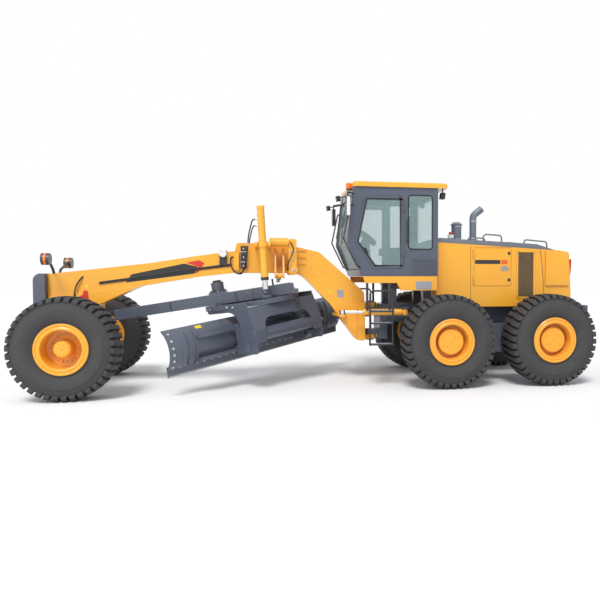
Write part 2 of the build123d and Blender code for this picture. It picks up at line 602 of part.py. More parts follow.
TRUNNION_X = on_lift_axis(LIFT_TRUNNION_Z).X
with BuildPart() as saddle:
    side_slab([(1635, 2354), (1600, 2500, 40), (700, 2500, 40), (560, 2434), (900, 2406)], -150, 150)
    for side in (1, -1):
        for x0 in (TRUNNION_X - 130, TRUNNION_X + 95):
            front_slab([(side * 100, 2375), (side * 100, 2500),
                        (side * 720, 2500, 45), (side * 720, 2400, 45)], x0, x0 + 35)
        bar((TRUNNION_X - 131, side * LIFT_Y, LIFT_TRUNNION_Z),
            (TRUNNION_X + 131, side * LIFT_Y, LIFT_TRUNNION_Z), 28 + RUNNING, mode=Mode.SUBTRACT)
    box(1560, 1650, BEAM_HALF_W, 250, 2010, 2330)
    y, z = SHIFT_BARREL_PIN
    for x0 in (SHIFT_X - 85, SHIFT_X + 55):
        front_slab([(BEAM_HALF_W, 2400), (BEAM_HALF_W, 2080), (y - 55, z - 45, 40), (y + 55, z - 45, 40),
                    (y + 55, z + 60, 40), (BEAM_HALF_W + 120, 2400)], x0, x0 + 30)
    bar((SHIFT_X - 86, y, z), (SHIFT_X + 86, y, z), 25)
    side_slab(BEAM_OUTLINE, -BEAM_HALF_W, BEAM_HALF_W, Mode.SUBTRACT)
saddle.part.label = "saddle"
export_step(saddle.part, "parts/saddle.step")

with BuildPart() as front_lamps:
    for side, x, z in ((1, 4610, 2183), (-1, 4585, 2145)):
        tube([(4624, side * 150, 1952), (4624, side * 200, 2020), (x, side * 460, z)], 22, 40)
        bar((x - 55, side * 550, z), (x + 60, side * 550, z), 95)
        bar((x, side * 455, z), (x, side * 500, z), 22)
front_lamps.part.label = "front_lamps"
export_step(front_lamps.part, "parts/front_lamps.step")

HOSE_R = 11
with BuildPart() as hoses:
    hose_y = BEAM_HALF_W + HOSE_R + 0.3
    for drop in (0, 26):
        tube([(3900, hose_y, 1800 - drop), (3200, hose_y, 1900 - drop), (2300, hose_y, 2040 - drop),
              (1700, hose_y, 2120 - drop)], HOSE_R, 300)
hoses.part.label = "hoses"
export_step(hoses.part, "parts/hoses.step")

# Front axle: tapered beam with an eye at each end
AXLE_HALF_T = 100
AXLE_OUTLINE = [
    (-KINGPIN_Y, TYRE_R + 55), (-KINGPIN_Y + 150, TYRE_R + 60, 60), (-300, 1150, 80), (300, 1150, 80),
    (KINGPIN_Y - 150, TYRE_R + 60, 60), (KINGPIN_Y, TYRE_R + 55), (KINGPIN_Y, TYRE_R - 55),
    (KINGPIN_Y - 150, TYRE_R - 60, 60), (300, 840, 150), (-300, 840, 150),
    (-KINGPIN_Y + 150, TYRE_R - 60, 60), (-KINGPIN_Y, TYRE_R - 55),
]
with BuildPart() as front_axle:
    front_slab(AXLE_OUTLINE, FRONT_AXLE_X - AXLE_HALF_T, FRONT_AXLE_X + AXLE_HALF_T)
    for side in (1, -1):
        bar((FRONT_AXLE_X - AXLE_HALF_T, side * KINGPIN_Y, TYRE_R),
            (FRONT_AXLE_X + AXLE_HALF_T, side * KINGPIN_Y, TYRE_R), 94)
        bar((FRONT_AXLE_X - 150, side * KINGPIN_Y, TYRE_R), (FRONT_AXLE_X + 150, side * KINGPIN_Y, TYRE_R),
            45 + RUNNING, mode=Mode.SUBTRACT)
    for x0, x1 in ((-196, -AXLE_HALF_T), (AXLE_HALF_T, 196)):
        bar((FRONT_AXLE_X + x0, 0, AXLE_PIN_Z), (FRONT_AXLE_X + x1, 0, AXLE_PIN_Z), 65)
    bar((FRONT_AXLE_X - 210, 0, AXLE_PIN_Z), (FRONT_AXLE_X + 210, 0, AXLE_PIN_Z), 40.3, mode=Mode.SUBTRACT)
front_axle.part.label = "front_axle"
export_step(front_axle.part, "parts/front_axle.step")

# Lean brackets, knuckles and rods of the front axle
KNUCKLE_PLATE_Y = 1015
TIE_BALL_R = 22
for name, side in (("left", 1), ("right", -1)):
    y = side * KINGPIN_Y
    with BuildPart() as lean:
        for x0 in (-LEAN_CHEEK_X1, LEAN_CHEEK_X0):
            front_slab([(y - 65, 660, 30), (y - 65, 940, 30), (y + 65, 940, 30), (y + 65, 660, 30)],
                       FRONT_AXLE_X + x0, FRONT_AXLE_X + x0 + LEAN_CHEEK_X1 - LEAN_CHEEK_X0)
        for z0, z1 in ((660, 698), (902, 940)):
            box(FRONT_AXLE_X - LEAN_CHEEK_X1, FRONT_AXLE_X + LEAN_CHEEK_X1, y - 60, y + 60, z0, z1)
        bar((FRONT_AXLE_X - LEAN_CHEEK_X1, y, TYRE_R), (FRONT_AXLE_X + LEAN_CHEEK_X1, y, TYRE_R), 45)
        bar((FRONT_AXLE_X, y, 930), (FRONT_AXLE_X, y, 1003), 40)
        bar((FRONT_AXLE_X, y, 597), (FRONT_AXLE_X, y, 670), 40)
        inner = y - side * 50
        front_slab([(inner - 20, 900), (inner - 20, LEAN_BAR_Z + 20, 10), (y + side * 36, LEAN_BAR_Z + 30, 10),
                    (y + side * 36, LEAN_BAR_Z - 36, 10), (inner + 20, LEAN_BAR_Z - 36), (inner + 20, 900)]
                   if side > 0 else
                   [(inner + 20, 900), (inner + 20, LEAN_BAR_Z + 20, 10), (y + side * 36, LEAN_BAR_Z + 30, 10),
                    (y + side * 36, LEAN_BAR_Z - 36, 10), (inner - 20, LEAN_BAR_Z - 36), (inner - 20, 900)],
                   FRONT_AXLE_X + LEAN_CHEEK_X0, FRONT_AXLE_X + LEAN_CHEEK_X1 - 12)
        bar((FRONT_AXLE_X + LEAN_CHEEK_X0, y, LEAN_BAR_Z), (FRONT_AXLE_X + LEAN_BAR_X1 + 2, y, LEAN_BAR_Z),
            LEAN_PIN_R)
    lean.part.label = f"lean_{name}"
    export_step(lean.part, f"parts/lean_{name}.step")

    with BuildPart() as knuckle:
        for z0, z1 in ((943, 1003), (597, 657)):
            bar((FRONT_AXLE_X, y, z0), (FRONT_AXLE_X, y, z1), 72)
            box(FRONT_AXLE_X - 72, FRONT_AXLE_X + 72, y, side * (KNUCKLE_PLATE_Y + 10), z0, z1)
        box(FRONT_AXLE_X - 90, FRONT_AXLE_X + 90, side * KNUCKLE_PLATE_Y, side * (KNUCKLE_PLATE_Y + 35),
            597, 1003)
        bar((FRONT_AXLE_X, side * (KNUCKLE_PLATE_Y + 30), TYRE_R),
            (FRONT_AXLE_X, side * (WHEEL_Y + 140), TYRE_R), SPINDLE_R)
        box(FRONT_AXLE_X + 50, FRONT_AXLE_X + STEER_ARM, y - 28, y + 28, 597, 615)
        bar((FRONT_AXLE_X + STEER_ARM, y, 597), (FRONT_AXLE_X + STEER_ARM, y, 615), 28)
        bar((FRONT_AXLE_X + STEER_ARM, y, 606), (FRONT_AXLE_X + STEER_ARM, y, TIE_ROD_Z + 18), 12)
        with Locations((FRONT_AXLE_X + STEER_ARM, y, TIE_ROD_Z + 24)):
            Sphere(TIE_BALL_R)
        bar((FRONT_AXLE_X, y, 590), (FRONT_AXLE_X, y, 1010), 40 + RUNNING, mode=Mode.SUBTRACT)
    knuckle.part.label = f"knuckle_{name}"
    export_step(knuckle.part, f"parts/knuckle_{name}.step")

with BuildPart() as lean_bar:
    x0, x1 = FRONT_AXLE_X + LEAN_BAR_X0, FRONT_AXLE_X + LEAN_BAR_X1
    box(x0, x1, -KINGPIN_Y + 20, KINGPIN_Y - 20, LEAN_BAR_Z - 20, LEAN_BAR_Z + 20)
    for side in (1, -1):
        bar((x0, side * KINGPIN_Y, LEAN_BAR_Z), (x1, side * KINGPIN_Y, LEAN_BAR_Z), LEAN_EYE_R)
        bar((x0 - 1, side * KINGPIN_Y, LEAN_BAR_Z), (x1 + 1, side * KINGPIN_Y, LEAN_BAR_Z),
            LEAN_PIN_R + RUNNING,
            mode=Mode.SUBTRACT)
lean_bar.part.label = "lean_bar"
export_step(lean_bar.part, "parts/lean_bar.step")

TIE_BALL = (FRONT_AXLE_X + STEER_ARM, KINGPIN_Y, TIE_ROD_Z + 24)
with BuildPart() as tie_rod_end:
    with Locations(TIE_BALL):
        Cylinder(36, 22)
        Cylinder(9, 120, rotation=(0, 90, 0))
        Sphere(TIE_BALL_R + RUNNING, mode=Mode.SUBTRACT)
tie_rod_end.part.label = "tie_rod_end"
export_step(tie_rod_end.part, "parts/tie_rod_end.step")

with BuildPart() as tie_rod:
    x, y, z = TIE_BALL
    for x0 in (x - 56, x + 42):
        box(x0, x0 + 14, y - 70, y, z - 16, z + 16)
        bar((x0, y, z), (x0 + 14, y, z), 16)
    box(x - 56, x + 56, y - 85, y - 62, z - 16, z + 16)
    bar((x, y - 75, z), (x, -y + 30, z), 20)
    with Locations((x, -y, z)):
        Cylinder(38, 20)
        Cylinder(27, 40, mode=Mode.SUBTRACT)
    for x0 in (x - 60, x + 40):
        bar((x0, y, z), (x0 + 20, y, z), 9 + RUNNING, mode=Mode.SUBTRACT)
tie_rod.part.label = "tie_rod"
export_step(tie_rod.part, "parts/tie_rod.step")

# Drawbar ball: cross block between the front frame's cheeks and the drawbar's fork
with BuildPart() as drawbar_ball:
    box(-40, 40, -50, 50, -50, 50)
    bar((0, -95, 0), (0, 95, 0), 25)
    bar((0, 0, -95), (0, 0, 95), 25)
placed = drawbar_ball.part.moved(DRAWBAR_FRAME)
placed.label = "drawbar_ball"
export_step(placed, "parts/drawbar_ball.step")

# Drawbar: fork, two box members in an A, cross members, circle gearbox, ball studs and shift lug
MEMBER_Y0, MEMBER_Y1 = 55, 430
MEMBER_X0, MEMBER_X1 = -250, -3260
shift_eye = DRAWBAR_FRAME.inverse() * Location((SHIFT_X, SHIFT_ROD_PIN[0], SHIFT_ROD_PIN[1]))
with BuildPart() as drawbar:
    for z0, z1 in ((55, 90), (-90, -55)):
        bar((0, 0, z0), (0, 0, z1), 42)
        top_slab([(0, -42), (0, 42), (-110, 42), (-150, 90), (-260, 90), (-260, -90), (-150, -90), (-110, -42)],
                 z0, z1)
    box(-300, -150, -90, 90, -DRAWBAR_HALF_H, DRAWBAR_HALF_H)
    for side in (1, -1):
        top_slab(
            [(MEMBER_X0, side * (MEMBER_Y0 - 50)), (MEMBER_X1, side * (MEMBER_Y1 - 50)),
             (MEMBER_X1, side * (MEMBER_Y1 + 50)), (MEMBER_X0, side * (MEMBER_Y0 + 35))],
            -DRAWBAR_HALF_H, DRAWBAR_HALF_H,
        )
        top_slab(
            [(LIFT_BALL_X + 90, side * 300), (LIFT_BALL_X + 80, side * (LIFT_Y + 60), 50),
             (LIFT_BALL_X - 80, side * (LIFT_Y + 60), 50), (LIFT_BALL_X - 200, side * 300)], -90, -55,
        )
        bar((LIFT_BALL_X, side * LIFT_Y, -60), (LIFT_BALL_X, side * LIFT_Y, 0), 26)
        with Locations((LIFT_BALL_X, side * LIFT_Y, 0)):
            Sphere(LIFT_BALL_R)
    box(MEMBER_X1 - 60, MEMBER_X1 + 60, -MEMBER_Y1 - 180, MEMBER_Y1 + 180, -DRAWBAR_HALF_H, -20)
    box(-2620, -2400, -400, 400, -DRAWBAR_HALF_H, 40)
    box(-2090, -1785, -260, 260, -DRAWBAR_HALF_H, 130)
    bar((-1940, 0, 120), (-1940, 0, 300), 110)
    bar((-1940, 0, -150), (-1940, 0, -80), 60)
    x0 = shift_eye.position.X + SHIFT_EYE_HALF_T + SHIFT_PIN_GAP
    z = shift_eye.position.Z
    y = SHIFT_ROD_PIN[0]
    front_slab([(y - 70, -60), (y - 50, z + 45, 40), (y + 50, z + 45, 40), (y + 70, -60)], x0, x0 + SHIFT_LUG_T)
    box(x0, x0 + SHIFT_LUG_T + 25, y - 70, -300, -DRAWBAR_HALF_H, -20)
    for angle in (30, 150, 210, 330):
        x, y = -CIRCLE_BACK + 660 * cos(radians(angle)), 660 * sin(radians(angle))
        with Locations(Location((x, y, -115), (0, 0, angle))):
            Box(48, 160, 110)
        x, y = -CIRCLE_BACK + 692 * cos(radians(angle)), 692 * sin(radians(angle))
        with Locations(Location((x, y, FLANGE_BOTTOM - CIRCLE_DROP - RUNNING - SHOE_LIP_T / 2), (0, 0, angle))):
            Box(24, 120, SHOE_LIP_T)
        x, y = -CIRCLE_BACK + 520 * cos(radians(angle)), 520 * sin(radians(angle))
        with Locations(Location((x, y, -70), (0, 0, angle))):
            Box(328, 100, 40)
    bar((0, 0, -100), (0, 0, 100), 25 + RUNNING, mode=Mode.SUBTRACT)
placed = drawbar.part.moved(DRAWBAR_FRAME)
placed.label = "drawbar"
export_step(placed, "parts/drawbar.step")

# Circle with drop arms, back plate and cross tube
ARM_OUTLINE = [
    (280, CIRCLE_TOP), (280, ARM_BOTTOM, 40), (LEG_FRONT, ARM_BOTTOM, 250), (LEG_FRONT, LEG_BOTTOM, 70),
    (LEG_BACK, LEG_BOTTOM, 70), (LEG_BACK, BACK_BEND_Z), (BACK_TOP_X, CIRCLE_TOP),
]


def back_x(z):
    """Where the sloping back of the drop arms is at a height."""
    return BACK_TOP_X + (LEG_BACK - BACK_TOP_X) * (CIRCLE_TOP - z) / (CIRCLE_TOP - BACK_BEND_Z)


with BuildPart() as circle:
    with BuildSketch(Plane.XY.offset(CIRCLE_BOTTOM)):
        Circle(CIRCLE_R)
        Circle(CIRCLE_INNER_R, mode=Mode.SUBTRACT)
    extrude(amount=CIRCLE_TOP - CIRCLE_BOTTOM)
    with BuildSketch(Plane.XY.offset(FLANGE_BOTTOM)):
        Circle(CIRCLE_INNER_R + 10)
        Circle(690, mode=Mode.SUBTRACT)
    extrude(amount=CIRCLE_TOP - FLANGE_BOTTOM)
    for side in (1, -1):
        side_slab(ARM_OUTLINE, side * (ARM_Y - ARM_T / 2), side * (ARM_Y + ARM_T / 2))
    side_slab(
        [(LEG_BACK, -700), (LEG_BACK, BACK_BEND_Z), (back_x(CIRCLE_BOTTOM), CIRCLE_BOTTOM),
         (back_x(CIRCLE_BOTTOM) + 40, CIRCLE_BOTTOM), (LEG_BACK + 30, BACK_BEND_Z), (LEG_BACK + 30, -700)],
        -ARM_Y, ARM_Y,
    )
    front_slab(
        [(-600, -720), (-520, -300, 160), (520, -300, 160), (600, -720)], LEG_BACK - 50, BACK_TOP_X + 60,
        Mode.SUBTRACT,
    )
    bar((-750, -ARM_Y, -570), (-750, ARM_Y, -570), 105)
    for side in (1, -1):
        bar((TILT_X, side * (ARM_Y - 60), TILT_Z), (TILT_X, side * (ARM_Y + 10), TILT_Z), TILT_PIN_R)
placed = circle.part.moved(CIRCLE_FRAME)
placed.label = "circle"
export_step(placed, "parts/circle.step")

# Blade carrier: two brackets on the tilt pins, jaws round the blade's rails, side shift barrel
CARRIER_Y0, CARRIER_Y1 = 590, ARM_Y - ARM_T / 2 - 8
with BuildPart() as blade_carrier:
    for side in (1, -1):
        bar((TILT_X, side * CARRIER_Y0, TILT_Z), (TILT_X, side * CARRIER_Y1, TILT_Z), 80)
        side_slab([(JAW_BACK + 60, -860), (JAW_BACK + 60, -345), (JAW_BACK, -345, 30), (-640, -680, 40),
                   (-650, -800, 60), (-560, -860, 40)], side * CARRIER_Y0, side * CARRIER_Y1)
        for z in (RAIL_TOP_Z, RAIL_LOW_Z):
            for z0, z1 in ((31, 62), (-62, -31)):
                box(JAW_BACK + 55, RAIL_BACK + 60, side * CARRIER_Y0, side * CARRIER_Y1, z + z0, z + z1)
    box(JAW_BACK, JAW_BACK + 60, -CARRIER_Y0, CARRIER_Y0, -560, -460)
    box(JAW_BACK, JAW_BACK + 60, -CARRIER_Y0, CARRIER_Y0, -760, -680)
    box(SIDE_SHIFT_X - 60, JAW_BACK + 60, 300, 420, SIDE_SHIFT_Z - 100, SIDE_SHIFT_Z + 60)
    bar((SIDE_SHIFT_X, -760, SIDE_SHIFT_Z), (SIDE_SHIFT_X, 450, SIDE_SHIFT_Z), 50)
    bar((SIDE_SHIFT_X, -CARRIER_Y1 - 5, SIDE_SHIFT_Z), (SIDE_SHIFT_X, 410, SIDE_SHIFT_Z),
        SIDE_SHIFT_ROD_R + RUNNING, mode=Mode.SUBTRACT)
    for side in (1, -1):
        bar((TILT_X, side * (CARRIER_Y0 - 5), TILT_Z), (TILT_X, side * (CARRIER_Y1 + 5), TILT_Z),
            TILT_PIN_R + RUNNING, mode=Mode.SUBTRACT)
placed = blade_carrier.part.moved(CIRCLE_FRAME)
placed.label = "blade_carrier"
export_step(placed, "parts/blade_carrier.step")

# Moldboard: curved plate, cutting edge, end bits, back rails and the side shift bracket
BLADE_MID_Z = (BLADE_TOP + BLADE_BOTTOM) / 2
with BuildPart() as moldboard:
    with BuildSketch(Plane.XZ.offset(-BLADE_HALF_L)) as blade_section:
        with BuildLine():
            ThreePointArc((BLADE_X, BLADE_BOTTOM + 120), (BLADE_X - BLADE_BULGE, BLADE_MID_Z + 30),
                          (BLADE_X, BLADE_TOP))
            Line((BLADE_X, BLADE_TOP), (BLADE_X - BLADE_T, BLADE_TOP + 5))
            ThreePointArc((BLADE_X - BLADE_T, BLADE_TOP + 5),
                          (BLADE_X - BLADE_BULGE - BLADE_T, BLADE_MID_Z + 30),
                          (BLADE_X - BLADE_T, BLADE_BOTTOM + 120))
            Line((BLADE_X - BLADE_T, BLADE_BOTTOM + 120), (BLADE_X, BLADE_BOTTOM + 120))
        make_face()
    extrude(amount=2 * BLADE_HALF_L)
    side_slab([(BLADE_X - 30, BLADE_BOTTOM + 150), (BLADE_X - 12, BLADE_BOTTOM + 150),
               (BLADE_X + 12, BLADE_BOTTOM), (BLADE_X - 10, BLADE_BOTTOM)], -BLADE_HALF_L, BLADE_HALF_L)
    for z, front in ((RAIL_TOP_Z, BLADE_X - 130), (RAIL_LOW_Z, BLADE_X - 100)):
        box(RAIL_BACK, front, -1500, 1500, z - 25, z + 25)
    box(SIDE_SHIFT_X - 40, BLADE_X - 165, SIDE_SHIFT_END_Y - 40, SIDE_SHIFT_END_Y, SIDE_SHIFT_Z - 50,
        SIDE_SHIFT_Z + 50)
placed = moldboard.part.moved(CIRCLE_FRAME)
placed.label = "moldboard"
export_step(placed, "parts/moldboard.step")

with BuildPart() as side_shift_rod:
    bar((SIDE_SHIFT_X, SIDE_SHIFT_END_Y, SIDE_SHIFT_Z), (SIDE_SHIFT_X, -150, SIDE_SHIFT_Z), SIDE_SHIFT_ROD_R)
placed = side_shift_rod.part.moved(CIRCLE_FRAME)
placed.label = "side_shift_rod"
export_step(placed, "parts/side_shift_rod.step")

# Lift cylinders: barrel on a trunnion in the saddle, rod over the drawbar's ball stud
BALL_TOP = (DRAWBAR_FRAME * Location((LIFT_BALL_X, 0, 0))).position.Z + LIFT_BALL_R
for name, side in (("left", 1), ("right", -1)):

    def lift_point(z):
        """Point at a height on this cylinder's centre line."""
        point = on_lift_axis(z)
        return (point.X, side * point.Y, point.Z)

    with BuildPart() as lift_barrel:
        bar(lift_point(LIFT_LOW_Z), lift_point(LIFT_TOP_Z), LIFT_BARREL_R)
        bar(lift_point(LIFT_TRUNNION_Z - 45), lift_point(LIFT_TRUNNION_Z + 45), LIFT_BARREL_R + 23)
        bar((TRUNNION_X - 130, side * LIFT_Y, LIFT_TRUNNION_Z),
            (TRUNNION_X + 130, side * LIFT_Y, LIFT_TRUNNION_Z), 28)
        bar(lift_point(LIFT_LOW_Z - 10), lift_point(LIFT_TOP_Z - 40), LIFT_ROD_R + RUNNING, mode=Mode.SUBTRACT)
    lift_barrel.part.label = f"lift_barrel_{name}"
    export_step(lift_barrel.part, f"parts/lift_barrel_{name}.step")

    with BuildPart() as lift_rod:
        bar(lift_point(BALL_TOP + OPEN_PIN_GAP + 62), lift_point(LIFT_ROD_TOP_Z), LIFT_ROD_R)
        bar(lift_point(BALL_TOP + OPEN_PIN_GAP + 3), lift_point(BALL_TOP + OPEN_PIN_GAP + 68), 52)
    lift_rod.part.label = f"lift_rod_{name}"
    export_step(lift_rod.part, f"parts/lift_rod_{name}.step")

# Centre shift cylinder across the machine, behind the lift cylinders
SHIFT_A = Vector(SHIFT_X, *SHIFT_BARREL_PIN)
SHIFT_B = Vector(SHIFT_X, *SHIFT_ROD_PIN)
SHIFT_DIR = (SHIFT_B - SHIFT_A).normalized()
with BuildPart() as shift_barrel:
    bar((SHIFT_X - 32, *SHIFT_BARREL_PIN), (SHIFT_X + 32, *SHIFT_BARREL_PIN), 45)
    bar(SHIFT_A + SHIFT_DIR * 20, SHIFT_A + SHIFT_DIR * 80, 30)
    bar(SHIFT_A + SHIFT_DIR * 60, SHIFT_A + SHIFT_DIR * SHIFT_BARREL_LEN, SHIFT_BARREL_R)
    bar(SHIFT_A + SHIFT_DIR * 95, SHIFT_A + SHIFT_DIR * (SHIFT_BARREL_LEN + 5), SHIFT_ROD_R + RUNNING,
        mode=Mode.SUBTRACT)
    bar((SHIFT_X - 72, *SHIFT_BARREL_PIN), (SHIFT_X + 72, *SHIFT_BARREL_PIN), 25 + RUNNING, mode=Mode.SUBTRACT)
shift_barrel.part.label = "shift_barrel"
export_step(shift_barrel.part, "parts/shift_barrel.step")

with BuildPart() as shift_rod:
    bar(SHIFT_A + SHIFT_DIR * SHIFT_ROD_START, SHIFT_B, SHIFT_ROD_R)
    bar((SHIFT_X - SHIFT_EYE_HALF_T, *SHIFT_ROD_PIN), (SHIFT_X + SHIFT_EYE_HALF_T, *SHIFT_ROD_PIN), 45)
shift_rod.part.label = "shift_rod"
export_step(shift_rod.part, "parts/shift_rod.step")

# Articulation cylinders, one on each side of the hitch
for name, side in (("left", 1), ("right", -1)):
    a = Vector(ARTIC_BARREL_PIN[0], side * ARTIC_BARREL_PIN[1], ARTIC_Z)
    b = Vector(ARTIC_ROD_PIN[0], side * ARTIC_ROD_PIN[1], ARTIC_Z)
    along = (b - a).normalized()
    up = Vector(0, 0, 1)
    with BuildPart() as artic_barrel:
        bar(a - up * 55, a + up * 55, 50)
        bar(a, a + along * 100, 45)
        bar(a + along * 60, a + along * ARTIC_BARREL_LEN, ARTIC_BARREL_R)
        bar(a + along * 100, a + along * (ARTIC_BARREL_LEN + 5), ARTIC_ROD_R + RUNNING, mode=Mode.SUBTRACT)
        bar(a - up * 90, a + up * 90, 30 + RUNNING, mode=Mode.SUBTRACT)
    artic_barrel.part.label = f"artic_barrel_{name}"
    export_step(artic_barrel.part, f"parts/artic_barrel_{name}.step")
    with BuildPart() as artic_rod:
        bar(a + along * ARTIC_ROD_START, b, ARTIC_ROD_R)
        bar(b - up * 40, b + up * 40, 55)
    artic_rod.part.label = f"artic_rod_{name}"
    export_step(artic_rod.part, f"parts/artic_rod_{name}.step")
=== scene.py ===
from math import cos, pi, radians, sin, tau

import bmesh
import bpy
from mathutils import Matrix, Vector


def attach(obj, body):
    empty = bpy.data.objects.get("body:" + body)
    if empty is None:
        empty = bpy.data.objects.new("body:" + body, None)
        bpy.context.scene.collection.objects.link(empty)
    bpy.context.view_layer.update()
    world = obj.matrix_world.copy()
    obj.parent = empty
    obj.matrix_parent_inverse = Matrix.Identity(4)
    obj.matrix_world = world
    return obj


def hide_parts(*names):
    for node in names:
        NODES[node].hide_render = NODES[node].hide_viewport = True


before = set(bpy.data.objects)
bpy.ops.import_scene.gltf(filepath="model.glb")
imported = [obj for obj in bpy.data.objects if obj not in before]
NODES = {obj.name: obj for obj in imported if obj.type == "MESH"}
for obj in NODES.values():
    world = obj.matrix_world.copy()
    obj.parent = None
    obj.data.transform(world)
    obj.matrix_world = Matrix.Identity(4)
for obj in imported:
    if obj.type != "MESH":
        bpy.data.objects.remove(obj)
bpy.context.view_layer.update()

# Motor grader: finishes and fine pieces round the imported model. Metres, +X forward, +Y left, +Z up.

SIDES = (1, -1)
SIDE_NAMES = {1: "left", -1: "right"}

# Photograph's camera
PHOTO_W = 600
FOCAL_PX = 608.3
OPTICAL_AXIS_PX = 370
CAMERA_AT = (1.211, 11.234, 1.873)
CAMERA_YAW = 0.180
CAMERA_PITCH = -0.036

# Colours
YELLOW = (0.92, 0.43, 0.035, 1)
DEEP_YELLOW = (0.80, 0.33, 0.02, 1)
SLATE = (0.085, 0.098, 0.135, 1)
DARK_SLATE = (0.05, 0.058, 0.08, 1)
GREY = (0.16, 0.18, 0.23, 1)
BLACK = (0.012, 0.012, 0.014, 1)
# Brownish grey dusting for occluded corners; on light paint it also darkens them as painted shade.
DUST_AND_SHADE_TINT = (0.30, 0.27, 0.22, 1)
RUBBER = (0.032, 0.032, 0.036, 1)
# Lighter rubber grey for open surfaces: dusting together with painted light, against grooves left black as
# painted shade.
RUBBER_DUST_AND_LIGHT = (0.075, 0.073, 0.072, 1)
STEEL = (0.55, 0.56, 0.58, 1)
WHITE = (0.8, 0.8, 0.8, 1)
RED = (0.65, 0.03, 0.015, 1)


# Shader helpers

class Shader:
    """Short calls that place and link the nodes of one tree."""

    def __init__(self, tree):
        self.tree = tree

    def put(self, kind, inputs=(), **settings):
        node = self.tree.nodes.new("ShaderNode" + kind)
        for name, value in settings.items():
            setattr(node, name, value)
        for key, value in dict(inputs).items():
            self.feed(value, node.inputs[key])
        return node

    def feed(self, value, socket):
        if isinstance(value, bpy.types.NodeSocket):
            self.tree.links.new(value, socket)
        else:
            socket.default_value = value

    def math(self, operation, *values, clamp=False):
        node = self.put("Math", operation=operation, use_clamp=clamp)
        for value, socket in zip(values, node.inputs):
            self.feed(value, socket)
        return node.outputs[0]

    def times(self, first, second, clamp=False):
        return self.math("MULTIPLY", first, second, clamp=clamp)

    def mix(self, factor, first, second, blend="MIX"):
        node = self.put("Mix", data_type="RGBA", blend_type=blend)
        for value, index in ((factor, 0), (first, 6), (second, 7)):
            self.feed(value, node.inputs[index])
        return node.outputs[2]

    def spread(self, value, low, high, to_low=0.0, to_high=1.0):
        node = self.put("MapRange", {0: value, 1: low, 2: high, 3: to_low, 4: to_high})
        return node.outputs[0]

    def noise(self, vector, scale, detail=3.0, roughness=0.5):
        given = {"Vector": vector, "Scale": scale, "Detail": detail, "Roughness": roughness}
        return self.put("TexNoise", given).outputs["Fac"]


def group(name, inputs):
    """A new node group with named inputs (name, kind, value) that puts out colour, roughness and normal."""
    tree = bpy.data.node_groups.new(name, "ShaderNodeTree")
    for socket_name, kind, value in inputs:
        socket = tree.interface.new_socket(socket_name, in_out="INPUT", socket_type="NodeSocket" + kind)
        socket.default_value = value
    for socket_name, kind in (("Colour", "Color"), ("Roughness", "Float"), ("Normal", "Vector")):
        tree.interface.new_socket(socket_name, in_out="OUTPUT", socket_type="NodeSocket" + kind)
    start = tree.nodes.new("NodeGroupInput")
    end = tree.nodes.new("NodeGroupOutput")
    return tree, Shader(tree), start.outputs, end.inputs


def coat_group():
    """Paint or plastic: broad tone change, a dusted colour that ambient occlusion lays into corners, which
    also darkens light paint there as painted shade, edges lightened as wear and as painted highlight, and a
    fine skin texture.
    """
    tree, shader, given, result = group(
        "coated surface",
        (
            ("Colour", "Color", YELLOW), ("Shade", "Color", DEEP_YELLOW), ("Dust Colour", "Color", DUST_AND_SHADE_TINT),
            ("Dust", "Float", 0.3), ("Edge Light", "Float", 0.3), ("Edge Radius", "Float", 0.006),
            ("Roughness", "Float", 0.35), ("Skin Scale", "Float", 260.0), ("Skin Height", "Float", 0.05),
            ("Streaks", "Float", 0.1),
        ),
    )
    place = shader.put("TexCoord").outputs["Object"]
    broad = shader.noise(place, 1.1, 4.0)
    cloud = shader.spread(broad, 0.35, 0.75)
    stretched = shader.put("Mapping", {"Vector": place, "Scale": (9.0, 9.0, 0.7)}).outputs[0]
    streak = shader.spread(shader.noise(stretched, 2.2, 5.0, 0.6), 0.52, 0.8)
    tone = shader.mix(shader.times(cloud, 0.35), given["Colour"], given["Shade"])
    tone = shader.mix(shader.times(streak, given["Streaks"]), tone, given["Shade"])
    rounded = shader.put("Bevel", {"Radius": given["Edge Radius"]}, samples=4)
    face = shader.put("NewGeometry").outputs["Normal"]
    agree = shader.put("VectorMath", {0: rounded.outputs[0], 1: face}, operation="DOT_PRODUCT")
    # Painted highlight and wear: edges found by the bevel are screened toward a pale colour and broken up by
    # noise.
    edge = shader.spread(agree.outputs["Value"], 0.995, 0.85)
    broken = shader.spread(shader.noise(place, 38.0, 5.0, 0.7), 0.45, 0.7)
    edge = shader.times(shader.times(edge, broken), given["Edge Light"])
    tone = shader.mix(edge, tone, (0.9, 0.88, 0.84, 1), "SCREEN")
    # Dusting and painted shade: ambient occlusion finds corners and recesses and mixes the hollow colour in
    # there, which darkens light paint like shade.
    corner = shader.put("AmbientOcclusion", {"Distance": 0.22}, samples=4)
    hollow = shader.spread(corner.outputs["AO"], 0.75, 0.2)
    speck = shader.spread(shader.noise(place, 14.0, 6.0, 0.65), 0.3, 0.75)
    dust_and_shade = shader.times(shader.times(hollow, speck), given["Dust"], clamp=True)
    shader.feed(shader.mix(dust_and_shade, tone, given["Dust Colour"]), result["Colour"])
    rough = shader.math("ADD", given["Roughness"], shader.times(dust_and_shade, 0.4))
    rough = shader.math("ADD", rough, shader.spread(broad, 0.3, 0.8, -0.05, 0.07), clamp=True)
    shader.feed(rough, result["Roughness"])
    skin = shader.noise(place, given["Skin Scale"], 2.0)
    bump = shader.put("Bump", {
        "Strength": given["Skin Height"], "Distance": 0.004, "Height": skin, "Normal": rounded.outputs[0],
    })
    shader.feed(bump.outputs[0], result["Normal"])
    return tree


